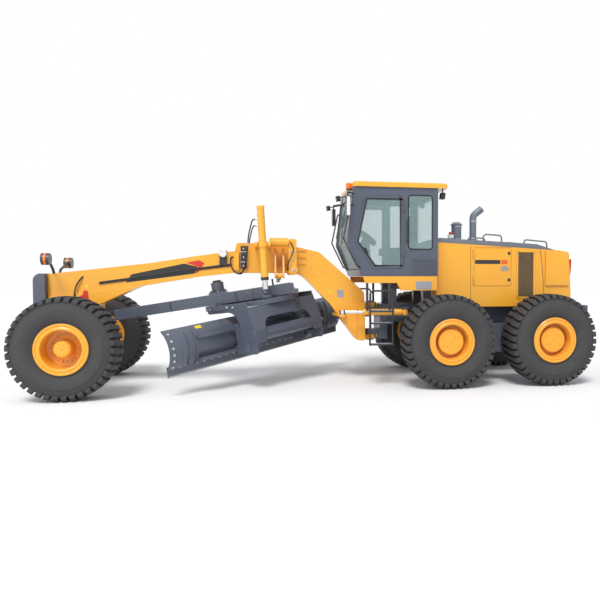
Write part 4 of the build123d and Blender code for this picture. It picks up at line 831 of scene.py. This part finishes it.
def build_nose():
    """Tow hook, hose and bolts round the front block."""
    hook = rounded([(4.07, 1.52, 0.01), (4.21, 1.50, 0.05), (4.215, 1.57, 0.01), (4.155, 1.585, 0.03),
                    (4.15, 1.66, 0.02), (4.09, 1.67, 0.02)])
    for side in SIDES:
        Shape(side).flat(hook, 0.025, BEAM_Y + 0.0305).piece("tie_down", "front", "yellow", red_paint, 0.004)
        Shape(side).tube([(4.16, 0.165, 1.90), (4.19, 0.20, 1.86), (4.26, 0.215, 1.74), (4.29, 0.215, 1.58),
                          (4.29, 0.19, 1.40), (4.28, 0.14, 1.26)], 0.012
                         ).piece("nose_hose", "front", "hose", hose_rubber)
    bolts = Shape()
    for y in (-0.2, 0.2):
        for z in (1.25, 1.75):
            bolts.bolt(facing(4.8505, y, z, (1, 0, 0)), 0.022)
    bolts.piece("front_block_bolts", "front", "chrome", zinc)


# Drawbar, circle and blade, each in the frame of its own body

DRAWBAR_PLACE = at(3.83, 0, 1.205) @ Matrix.Rotation(radians(8.8), 4, "Y")
CIRCLE_PLACE = DRAWBAR_PLACE @ at(-2.510, 0, -0.100) @ Matrix.Rotation(radians(-48), 4, "Z")
GEARBOX_X = -1.94
ARM_FACE_Y = 0.8055


def member_outer(x):
    """Outer face of the drawbar's box member at a distance behind the ball."""
    return 0.090 + (x - 0.250) / 3.010 * 0.390


def build_drawbar_fittings():
    ribs = Shape()
    for x in (1.10, 2.237, 2.53):
        for side in SIDES:
            ribs.prism(oblong(-x - 0.008, -0.088, -x + 0.008, 0.088), 0.05,
                       DRAWBAR_PLACE @ side_face(member_outer(x) - 0.012, side))
    ribs.piece("drawbar_ribs", "drawbar", "slate", slate_paint, 0.003)
    gearbox = Shape()
    for x, y in ((-1.855, 0.17), (-2.02, 0.17), (-1.855, -0.17), (-2.02, -0.17)):
        gearbox.turned([(0.048, 0.129), (0.048, 0.15), (0.04, 0.162)], 32, DRAWBAR_PLACE @ at(x, y, 0))
    gearbox.turned([(0.075, 0.3005), (0.075, 0.325), (0.06, 0.335)], 32, DRAWBAR_PLACE @ at(GEARBOX_X, 0, 0))
    gearbox.piece("gearbox_caps", "drawbar", "black", black_paint, 0.002)
    bolts = Shape()
    for step in range(12):
        angle = tau * step / 12
        bolts.bolt(DRAWBAR_PLACE @ at(GEARBOX_X + 0.145 * cos(angle), 0.145 * sin(angle), 0.1305), 0.024)
    bolts.piece("gearbox_bolts", "drawbar", "chrome", zinc)


def build_circle_fittings():
    """Bolts and bosses on the drop arms."""
    for side in SIDES:
        arm = CIRCLE_PLACE @ side_face(ARM_FACE_Y, side)
        bolts = Shape(side)
        for x, z in ((0.20, -0.05), (0.05, -0.05), (-0.10, -0.05), (-0.25, -0.05), (-0.40, -0.06)):
            bolts.bolt(arm @ at(x, z, 0), 0.036)
        bolts.piece("arm_bolts", "circle", "chrome", zinc)
        Shape(side).turned([(0.075, 0), (0.078, 0.008), (0.05, 0.016)], 40, arm @ at(-0.60, -0.75, 0)).turned(
            [(0.118, 0), (0.118, 0.006), (0.112, 0.010)], 48, arm @ at(-0.75, -0.57, 0)
        ).piece("arm_bosses", "circle", "slate", slate_paint, 0.002)


def circle_through(a, b, c):
    """Centre and radius of the circle through three (x, z) points."""
    ax, az = b[0] - a[0], b[1] - a[1]
    cx, cz = c[0] - a[0], c[1] - a[1]
    scale = 2 * (ax * cz - az * cx)
    u = (cz * (ax * ax + az * az) - az * (cx * cx + cz * cz)) / scale
    v = (ax * (cx * cx + cz * cz) - cx * (ax * ax + az * az)) / scale
    return Vector((a[0] + u, a[1] + v)), Vector((u, v)).length


BACK_CENTRE, BACK_RADIUS = circle_through((-0.100, -0.230), (-0.250, -0.5725), (-0.100, -0.850))
BLADE_END = 2.015
EDGE_BOLTS = 26
EDGE_GAP = 0.004


def on_back(z, out=0.0):
    """Point (x, z) on the blade's back at a height, moved out from the surface."""
    x = BACK_CENTRE.x - (BACK_RADIUS * BACK_RADIUS - (z - BACK_CENTRE.y) ** 2) ** 0.5
    normal = (Vector((x, z)) - BACK_CENTRE).normalized()
    return Vector((x, z)) + normal * out, normal


def along_blade(y):
    """Place whose third axis runs along the blade from y toward the right."""
    return CIRCLE_PLACE @ at(0, y, 0) @ side_face(0, -1)


def back_strip(shape, z0, z1, y0, y1, thickness, steps=14):
    """Curved plate on the blade's back between two heights and two distances along the blade."""
    heights = [z0 + (z1 - z0) * step / steps for step in range(steps + 1)]
    outer = [tuple(on_back(z, thickness)[0]) for z in heights]
    inner = [tuple(on_back(z, -0.004)[0]) for z in reversed(heights)]
    shape.prism(outer + inner, y1 - y0, along_blade(y1))


def build_blade_fittings():
    strips = Shape()
    for y0, y1 in ((1.80, 2.0145), (-2.0145, -1.80)):
        back_strip(strips, -0.845, -0.245, y0, y1, 0.010)
    strips.piece("blade_end_strips", "moldboard", "slate", blade_paint, 0.002)
    ribs = Shape()
    for y in (-1.66, -1.52, 1.52, 1.66):
        back_strip(ribs, -0.83, -0.30, y - 0.008, y + 0.008, 0.035)
    ribs.piece("blade_ribs", "moldboard", "slate", blade_paint, 0.002)
    Shape().tube([CIRCLE_PLACE @ Vector((-0.092, y, -0.231)) for y in (-BLADE_END, 0.0, BLADE_END)], 0.007, 10
                 ).piece("blade_lip", "moldboard", "slate", blade_paint)
    film = Shape()
    back_strip(film, -0.295, -0.250, 1.30, 1.42, FILM, 4)
    film.piece("blade_film", "moldboard", "yellow", decal_pale)
    bolts = Shape()
    for y in (1.955, -1.955):
        for z in (-0.30, -0.41, -0.52, -0.62, -0.71, -0.80):
            point, normal = on_back(z, 0.0095)
            bolts.bolt(CIRCLE_PLACE @ facing(point.x, y, point.y, (normal.x, 0, normal.y)), 0.040)
    for index in range(EDGE_BOLTS):
        y = -1.95 + 3.9 * index / (EDGE_BOLTS - 1)
        bolts.bolt(CIRCLE_PLACE @ facing(-0.1055, y, -0.835, (-1, 0, 0)), 0.036)
    bolts.piece("blade_bolts", "moldboard", "chrome", zinc)
    edge = Shape()
    for index in range(4):
        y0 = -BLADE_END + 0.002 + index * BLADE_END / 2
        edge.prism([(-0.0905, -0.969), (-0.0620, -0.969), (-0.0720, -0.80), (-0.0750, -0.80)],
                   BLADE_END / 2 - EDGE_GAP, along_blade(y0 + BLADE_END / 2 - EDGE_GAP))
    edge.piece("cutting_edges", "moldboard", "slate", worn_steel, 0.001)


# Cab: seals, mirrors, lamps, louvres and handles

CAB_Y = 0.80
CAB_FACE = CAB_Y + OFF_FACE
CAB_REAR_X = -1.915
DOOR_OUTLINE = [(-1.290, 2.040, 0.04), (-1.290, 3.310, 0.05), (-0.582, 3.310, 0.06), (-0.415, 2.488, 0.08),
                (-0.752, 2.030, 0.06)]
SIDE_WINDOW = [(-1.804, 2.388, 0.05), (-1.804, 3.321, 0.05), (-1.383, 3.321, 0.05), (-1.383, 2.388, 0.05)]
REAR_WINDOW = [(-0.620, 2.560, 0.05), (-0.620, 3.300, 0.05), (0.620, 3.300, 0.05), (0.620, 2.560, 0.05)]
FACING_REAR = Matrix(((0, 0, -1, 0), (1, 0, 0, 0), (0, 1, 0, 0), (0, 0, 0, 1)))


def build_cab_seals():
    def seal(name, body, outline, out, into, place, side=None):
        Shape(side).band(inset(outline, -out), inset(outline, into), 0.006, place).piece(
            name, body, "hose", seal_rubber, 0.0015)

    for side in SIDES:
        face = side_face(CAB_FACE, side)
        seal("window_seal", "rear", rounded(SIDE_WINDOW), 0.016, 0.004, face, side)
        seal("door_seal", "door_", inset(rounded(DOOR_OUTLINE), 0.056), 0.012, 0.016, face, side)
    seal("rear_window_seal", "rear", rounded(REAR_WINDOW), 0.016, 0.004,
         at(CAB_REAR_X - OFF_FACE, 0, 0) @ FACING_REAR)


def build_louvres():
    """Ribbed vent panel under the side window, and the blank plate on the skirt below it."""
    outer = oblong(-1.895, 1.95, -1.425, 2.215, 0.02)
    for side in SIDES:
        louvres = Shape(side).band(outer, inset(outer, 0.016), 0.010, side_face(CAB_FACE, side))
        for row in range(8):
            z = 1.975 + row * 0.029
            louvres.flat(oblong(-1.885, z, -1.435, z + 0.012), 0.008, CAB_FACE)
        louvres.piece("cab_louvres", "rear", "slate", slate_paint, 0.002)
        Shape(side).flat(oblong(-1.80, 1.672, -1.51, 1.815, 0.01), 0.003, CAB_FACE).piece(
            "skirt_plate", "rear", "grey", decal_grey, 0.001)
        Shape(side).bolts(0.010, CAB_Y + 0.0033, (-1.785, 1.687), (-1.785, 1.80), (-1.525, 1.687),
                          (-1.525, 1.80)).piece("skirt_screws", "rear", "chrome", zinc)


def centred(half_width, half_height, radius):
    """Rounded rectangle about the place's own middle."""
    return oblong(-half_width, -half_height, half_width, half_height, radius)


def build_cab_fittings():
    for side in SIDES:
        low, high = sorted((side * 0.928, side * 1.072))
        Shape(side).box((-0.3030, low, 2.928), (-0.3003, high, 3.242)).piece(
            "mirror_pane", "rear", "chrome", mirror_glass, 0.001)
        Shape(side).flat(oblong(-0.298, 2.925, -0.243, 3.245, 0.02), 0.004, 1.0803).piece(
            "mirror_cover", "rear", "trim", white_plastic, 0.002)
        Shape(side).tube([(-1.345, y, z) for y, z in (
            (0.795, 2.50), (0.84, 2.52), (0.845, 2.70), (0.84, 2.88), (0.795, 2.90))], 0.011
        ).piece("grab_rail", "rear", "black", black_paint)
        handle = rounded([(-0.66, 2.30, 0.012), (-0.60, 2.30, 0.012), (-0.56, 2.40, 0.012),
                          (-0.62, 2.40, 0.012)])
        Shape(side).flat(handle, 0.010, CAB_FACE).rod(
            (-0.625, 0.806, 2.33), (-0.625, 0.825, 2.33), 0.012, 20).rod(
            (-0.635, 0.820, 2.33), (-0.580, 0.826, 2.345), 0.008, 12
        ).piece("door_latch", "door_", "black", dark_plastic, 0.001)
        place = facing(-2.06, side * 0.69, 3.335, (-1, 0, -0.15))
        Shape(side).prism(centred(0.07, 0.055, 0.015), -0.07, place).rod(
            (-2.03, 0.69, 3.385), (-2.03, 0.69, 3.4605), 0.012, 16
        ).piece("rear_work_lamp", "rear", "black", dark_plastic, 0.003)
        Shape(side).prism(centred(0.062, 0.047, 0.012), 0.004, place).piece(
            "rear_work_lens", "rear", "glass", lamp_lens, 0.001)
        place = facing(-0.10, side * 0.745, 3.235, (1, 0, -0.2))
        Shape(side).rod((-0.375, 0.74, 3.30), (-0.16, 0.745, 3.262), 0.010, 16).prism(
            centred(0.06, 0.045, 0.015), -0.07, place
        ).piece("front_work_lamp", "rear", "black", dark_plastic, 0.003)
        Shape(side).prism(centred(0.052, 0.037, 0.012), 0.004, place).piece(
            "front_work_lens", "rear", "glass", lamp_lens, 0.001)
    Shape().lathe([(0.0455, 0), (0.050, 0.003), (0.050, 0.085), (0.042, 0.0995), (AXIS_R, 0.1005),
                   (AXIS_R, 0.0995), (0.0455, 0.0985), (0.0455, 0)], 40, at(-0.350, 0.560, 3.442)
                  ).piece("beacon_lens", "rear", "glass", amber_lens)
    Shape().tube([(-0.28, 0.30, 3.30), (-0.265, 0.10, 3.10), (-0.25, -0.15, 2.80), (-0.23, -0.28, 2.62)],
                 0.007, 8).piece("wiper", "rear", "black", dark_plastic)


STEP_RISE = (
    # height of the step's top, low y, high y
    (0.7523, 1.005, 1.115), (1.1123, 1.005, 1.115), (1.3153, 0.80, 1.050),
)
STUD_PITCH = 0.03
STUD_MARGIN = 0.018


def build_step_treads():
    """Pressed treads with raised studs on the ladder's steps."""
    for side in SIDES:
        treads = Shape(side)
        for z, y0, y1 in STEP_RISE:
            low, high = sorted((side * y0, side * y1))
            treads.box((-1.015, low, z), (-0.665, high, z + 0.003))
            rows = int((y1 - y0) / STUD_PITCH)
            for column in range(11):
                for row in range(rows):
                    y = side * (y0 + STUD_MARGIN + row * (y1 - y0 - 2 * STUD_MARGIN) / max(1, rows - 1))
                    treads.lathe([(0.0085, -0.001), (0.0085, 0.003), (0.006, 0.006), (AXIS_R, 0.006)], 10,
                                 at(-0.99 + STUD_PITCH * column, y, z + 0.003))
        treads.piece("step_treads", "rear", "grey", silver_paint)


# Hood: seams, service door strip, grilles, lamps and caps

HOOD_Y = 0.62
HOOD_FACE = HOOD_Y + OFF_FACE


def strip(points, width):
    """Outline of a narrow strip along a line of (x, z) points."""
    left = []
    right = []
    for index, point in enumerate(points):
        here = Vector(point)
        ahead = Vector(points[min(index + 1, len(points) - 1)]) - Vector(points[max(index - 1, 0)])
        across = Vector((-ahead.y, ahead.x)).normalized() * width / 2
        left.append(tuple(here + across))
        right.append(tuple(here - across))
    return left + right[::-1]


def build_hood_sides():
    outer = oblong(-3.842, 1.495, -3.475, 2.385, 0.03)
    for side in SIDES:
        face = side_face(HOOD_FACE, side)
        tail = [(-3.945, 2.40), (-3.975, 2.20), (-4.0, 1.95), (-4.02, 1.70), (-4.03, 1.55)]
        Shape(side).prism(strip([(-2.592, 1.48), (-2.588, 2.46)], 0.007), 0.0015, face).prism(
            strip(tail, 0.009), 0.0015, face).piece("hood_seams", "rear", "black", decal_black)
        Shape(side).band(outer, inset(outer, 0.034), 0.012, face).piece(
            "grille_frame", "rear", "yellow", yellow_paint, 0.003)
        Shape(side).prism(inset(outer, 0.032), 0.0015, face).piece(
            "grille_back", "rear", "black", dark_plastic)
        mesh = Shape(side)
        for row in range(40):
            z = 1.535 + 0.0207 * row
            mesh.box((-3.808, z, 0.0015), (-3.510, z + 0.007, 0.0065), face)
        for column in range(14):
            x = -3.804 + 0.0218 * column
            mesh.box((x, 1.53, 0.0015), (x + 0.007, 2.35, 0.0055), face)
        mesh.piece("grille_mesh", "rear", "iron", grille_paint)
        screws = Shape(side)
        for x in (-3.825, -3.492):
            screws.bolts(0.014, HOOD_Y + 0.0123, (x, 1.56), (x, 1.94), (x, 2.32))
        screws.bolts(0.014, 0.6553, (-4.06, 2.33), (-4.06, 1.80), (-4.46, 1.80), (-4.46, 2.32))
        screws.piece("hood_screws", "rear", "chrome", zinc)


def build_service_doors():
    rim = oblong(-3.366, 1.734, -2.658, 2.432, 0.02)
    body = "service_door_"
    for side in SIDES:
        Shape(side).flat(oblong(-3.158, 2.132, -2.671, 2.206), FILM, HOOD_FACE).piece(
            "door_stripe", body, "black", decal_black)
        Shape(side).flat(oblong(-3.30, 2.132, -3.178, 2.206), FILM, HOOD_FACE).piece(
            "door_stripe_tail", body, "yellow", decal_orange)
        Shape(side).flat(oblong(-3.317, 2.005, -3.172, 2.095, 0.01), 0.002, HOOD_FACE).piece(
            "door_plate", body, "grey", decal_grey, 0.0005)
        latches = Shape(side)
        for z in (1.84, 2.33):
            latches.turned([(0.026, 0), (0.028, 0.004), (0.018, 0.008)], 28,
                           facing(-3.33, side * HOOD_FACE, z, (0, side, 0)))
        latches.piece("door_latches", body, "black", dark_plastic)
        Shape(side).band(rim, inset(rim, 0.014), 0.003, side_face(HOOD_FACE, side)).piece(
            "door_rim", body, "yellow", yellow_paint, 0.001)


def rear_x(z):
    """Where the hood's sloping rear face is at a height."""
    return -4.571 + (z - 1.520) / (2.360 - 1.520) * (4.571 - 4.525)


def build_hood_rear():
    """Cooling grille and lamps on the rear face."""
    lean = at(rear_x(1.9) - 0.0012, 0, 1.9) @ Matrix.Rotation(-0.0547, 4, "Y") @ FACING_REAR
    outer = oblong(-0.46, -0.30, 0.46, 0.34, 0.03)
    Shape().band(outer, inset(outer, 0.03), 0.014, lean).piece(
        "rear_grille_frame", "rear", "yellow", yellow_paint, 0.003)
    Shape().prism(inset(outer, 0.028), 0.002, lean).piece("rear_grille_back", "rear", "black", dark_plastic)
    slats = Shape()
    for row in range(22):
        z = -0.262 + 0.0266 * row
        slats.box((-0.432, z, 0.002), (0.432, z + 0.010, 0.010), lean)
    for y in (-0.216, 0.0, 0.216):
        slats.box((y - 0.006, -0.272, 0.002), (y + 0.006, 0.312, 0.008), lean)
    slats.piece("rear_grille_slats", "rear", "black", black_paint, 0.001)
    for side in SIDES:
        low, high = sorted((side * 0.505, side * 0.595))
        Shape(side).box((low, 0.045, 0.0), (high, 0.33, 0.022), lean).piece(
            "tail_lamp", "rear", "glass", red_lens, 0.004)


def hood_skin_z(x):
    """Top of the hood's raised cover at x."""
    return 2.606 + (x + 2.000) / 1.900 * (2.606 - 2.510)


def build_stack_fittings():
    """Filler bottle and cap, bands round both stacks and seams in the hood's cover."""
    Shape().lathe([(0.0558, 0), (0.058, 0.003), (0.058, 0.062), (0.050, 0.0695), (0.031, 0.0705),
                   (AXIS_R, 0.0705), (AXIS_R, 0.0695), (0.0558, 0.068), (0.0558, 0)], 36,
                  at(-2.30, 0.33, 2.610)).piece("filler_bottle", "rear", "trim", white_plastic, 0.001)
    Shape().lathe([(0.0305, 0), (0.034, 0.002), (0.034, 0.042), (0.030, 0.0465), (AXIS_R, 0.047),
                   (AXIS_R, 0.0462), (0.0305, 0.045), (0.0305, 0)], 24, at(-2.30, 0.33, 2.685)
                  ).piece("filler_cap", "rear", "trim", red_paint, 0.001)
    bands = Shape()
    for x, inner, outer, height, z in (
        (-2.475, 0.0955, 0.099, 0.016, 2.60), (-2.475, 0.0955, 0.099, 0.016, 2.84),
        (-2.803, 0.0665, 0.070, 0.018, 2.62), (-2.803, 0.0665, 0.070, 0.018, 2.94),
    ):
        ring = [(inner, 0), (outer, 0), (outer, height), (inner, height), (inner, 0)]
        bands.lathe(ring, 40, at(x, 0.13, z))
    bands.piece("stack_bands", "rear", "chrome", zinc, 0.001)
    seams = Shape()
    for side in SIDES:
        for x in (-2.72, -3.62):
            y, z = side * 0.38, hood_skin_z(x)
            seams.box((x - 0.003, y - 0.16, z - 0.002), (x + 0.003, y + 0.16, z + 0.002))
    seams.piece("hood_top_seams", "rear", "black", decal_black)


def build_rear_rails():
    """Hand rails over the cooling part of the hood."""
    rails = Shape()
    for side in SIDES:
        rails.tube([(x, side * 0.43, z) for x, z in (
            (-3.70, 2.49), (-3.71, 2.55), (-3.75, 2.592), (-3.95, 2.578), (-4.13, 2.563), (-4.165, 2.52),
            (-4.175, 2.42))], 0.014)
    rails.piece("rear_rails", "rear", "grey", grey_paint)


for build in (build_beam_films, build_beam_ribs, build_front_lamps, build_puck_lamp, build_valve_block,
              build_cylinder_ends, build_yoke, build_nose, build_drawbar_fittings, build_circle_fittings,
              build_blade_fittings, build_cab_seals, build_louvres, build_cab_fittings, build_step_treads,
              build_hood_sides, build_service_doors, build_hood_rear, build_stack_fittings,
              build_rear_rails):
    build()


# Stage, light and camera

def build_stage():
    floor_data = bpy.data.meshes.new("floor")
    reach = 60.0
    corners = [(-reach, -reach, 0), (reach, -reach, 0), (reach, reach, 0), (-reach, reach, 0)]
    floor_data.from_pydata(corners, [], [(0, 1, 2, 3)])
    floor = bpy.data.objects.new("floor", floor_data)
    bpy.context.scene.collection.objects.link(floor)
    material = bpy.data.materials.new("pale floor")
    material.use_nodes = True
    shader = Shader(material.node_tree)
    node = material.node_tree.nodes["Principled BSDF"]
    place = shader.put("TexCoord").outputs["Object"]
    shader.feed(shader.mix(shader.noise(place, 0.3, 2.0), (0.90, 0.90, 0.90, 1), (0.94, 0.94, 0.94, 1)),
                node.inputs["Base Color"])
    node.inputs["Roughness"].default_value = 0.9
    node.inputs["Specular IOR Level"].default_value = 0.1
    floor_data.materials.append(material)

    world = bpy.data.worlds.new("pale room")
    bpy.context.scene.world = world
    world.use_nodes = True
    tree = world.node_tree
    tree.nodes.clear()
    shader = Shader(tree)
    path = shader.put("LightPath").outputs
    seen = shader.math("MAXIMUM", path["Is Camera Ray"],
                       shader.math("MAXIMUM", path["Is Glossy Ray"], path["Is Transmission Ray"]))
    plain = shader.put("Background", {"Color": (0.93, 0.96, 1.0, 1), "Strength": WORLD_LIGHT})
    pale = shader.put("Background", {"Color": (1, 1, 1, 1), "Strength": 1.0})
    both = shader.put("MixShader", {0: seen, 1: plain.outputs[0], 2: pale.outputs[0]})
    shader.put("OutputWorld", {"Surface": both.outputs[0]})


WORLD_LIGHT = 0.62
LAMPS = (
    # name, kind, place, target, energy, size
    ("sun", "SUN", (3.0, 9.0, 14.0), (0.0, 0.0, 1.0), 2.1, 0.35),
    ("front_fill", "AREA", (9.0, 10.0, 5.0), (2.0, 0.0, 1.2), 260.0, 6.0),
)


def build_light():
    for name, kind, spot, target, energy, size in LAMPS:
        light = bpy.data.lights.new(name, kind)
        light.energy = energy
        if kind == "SUN":
            light.angle = size
        else:
            light.size = size
        lamp = bpy.data.objects.new(name, light)
        bpy.context.scene.collection.objects.link(lamp)
        lamp.location = spot
        lamp.rotation_euler = (Vector(target) - Vector(spot)).to_track_quat("-Z", "Y").to_euler()


def build_camera():
    data = bpy.data.cameras.new("photo_camera")
    data.sensor_width = 36.0
    data.lens = FOCAL_PX / PHOTO_W * data.sensor_width
    data.shift_x = (PHOTO_W / 2 - OPTICAL_AXIS_PX) / PHOTO_W
    camera = bpy.data.objects.new("photo_camera", data)
    bpy.context.scene.collection.objects.link(camera)
    level = cos(CAMERA_PITCH)
    look = Vector((-sin(CAMERA_YAW) * level, -cos(CAMERA_YAW) * level, sin(CAMERA_PITCH)))
    camera.location = CAMERA_AT
    camera.rotation_euler = look.to_track_quat("-Z", "Y").to_euler()
    bpy.context.scene.camera = camera


build_stage()
build_light()
build_camera()
bpy.context.scene.view_settings.view_transform = "Standard"
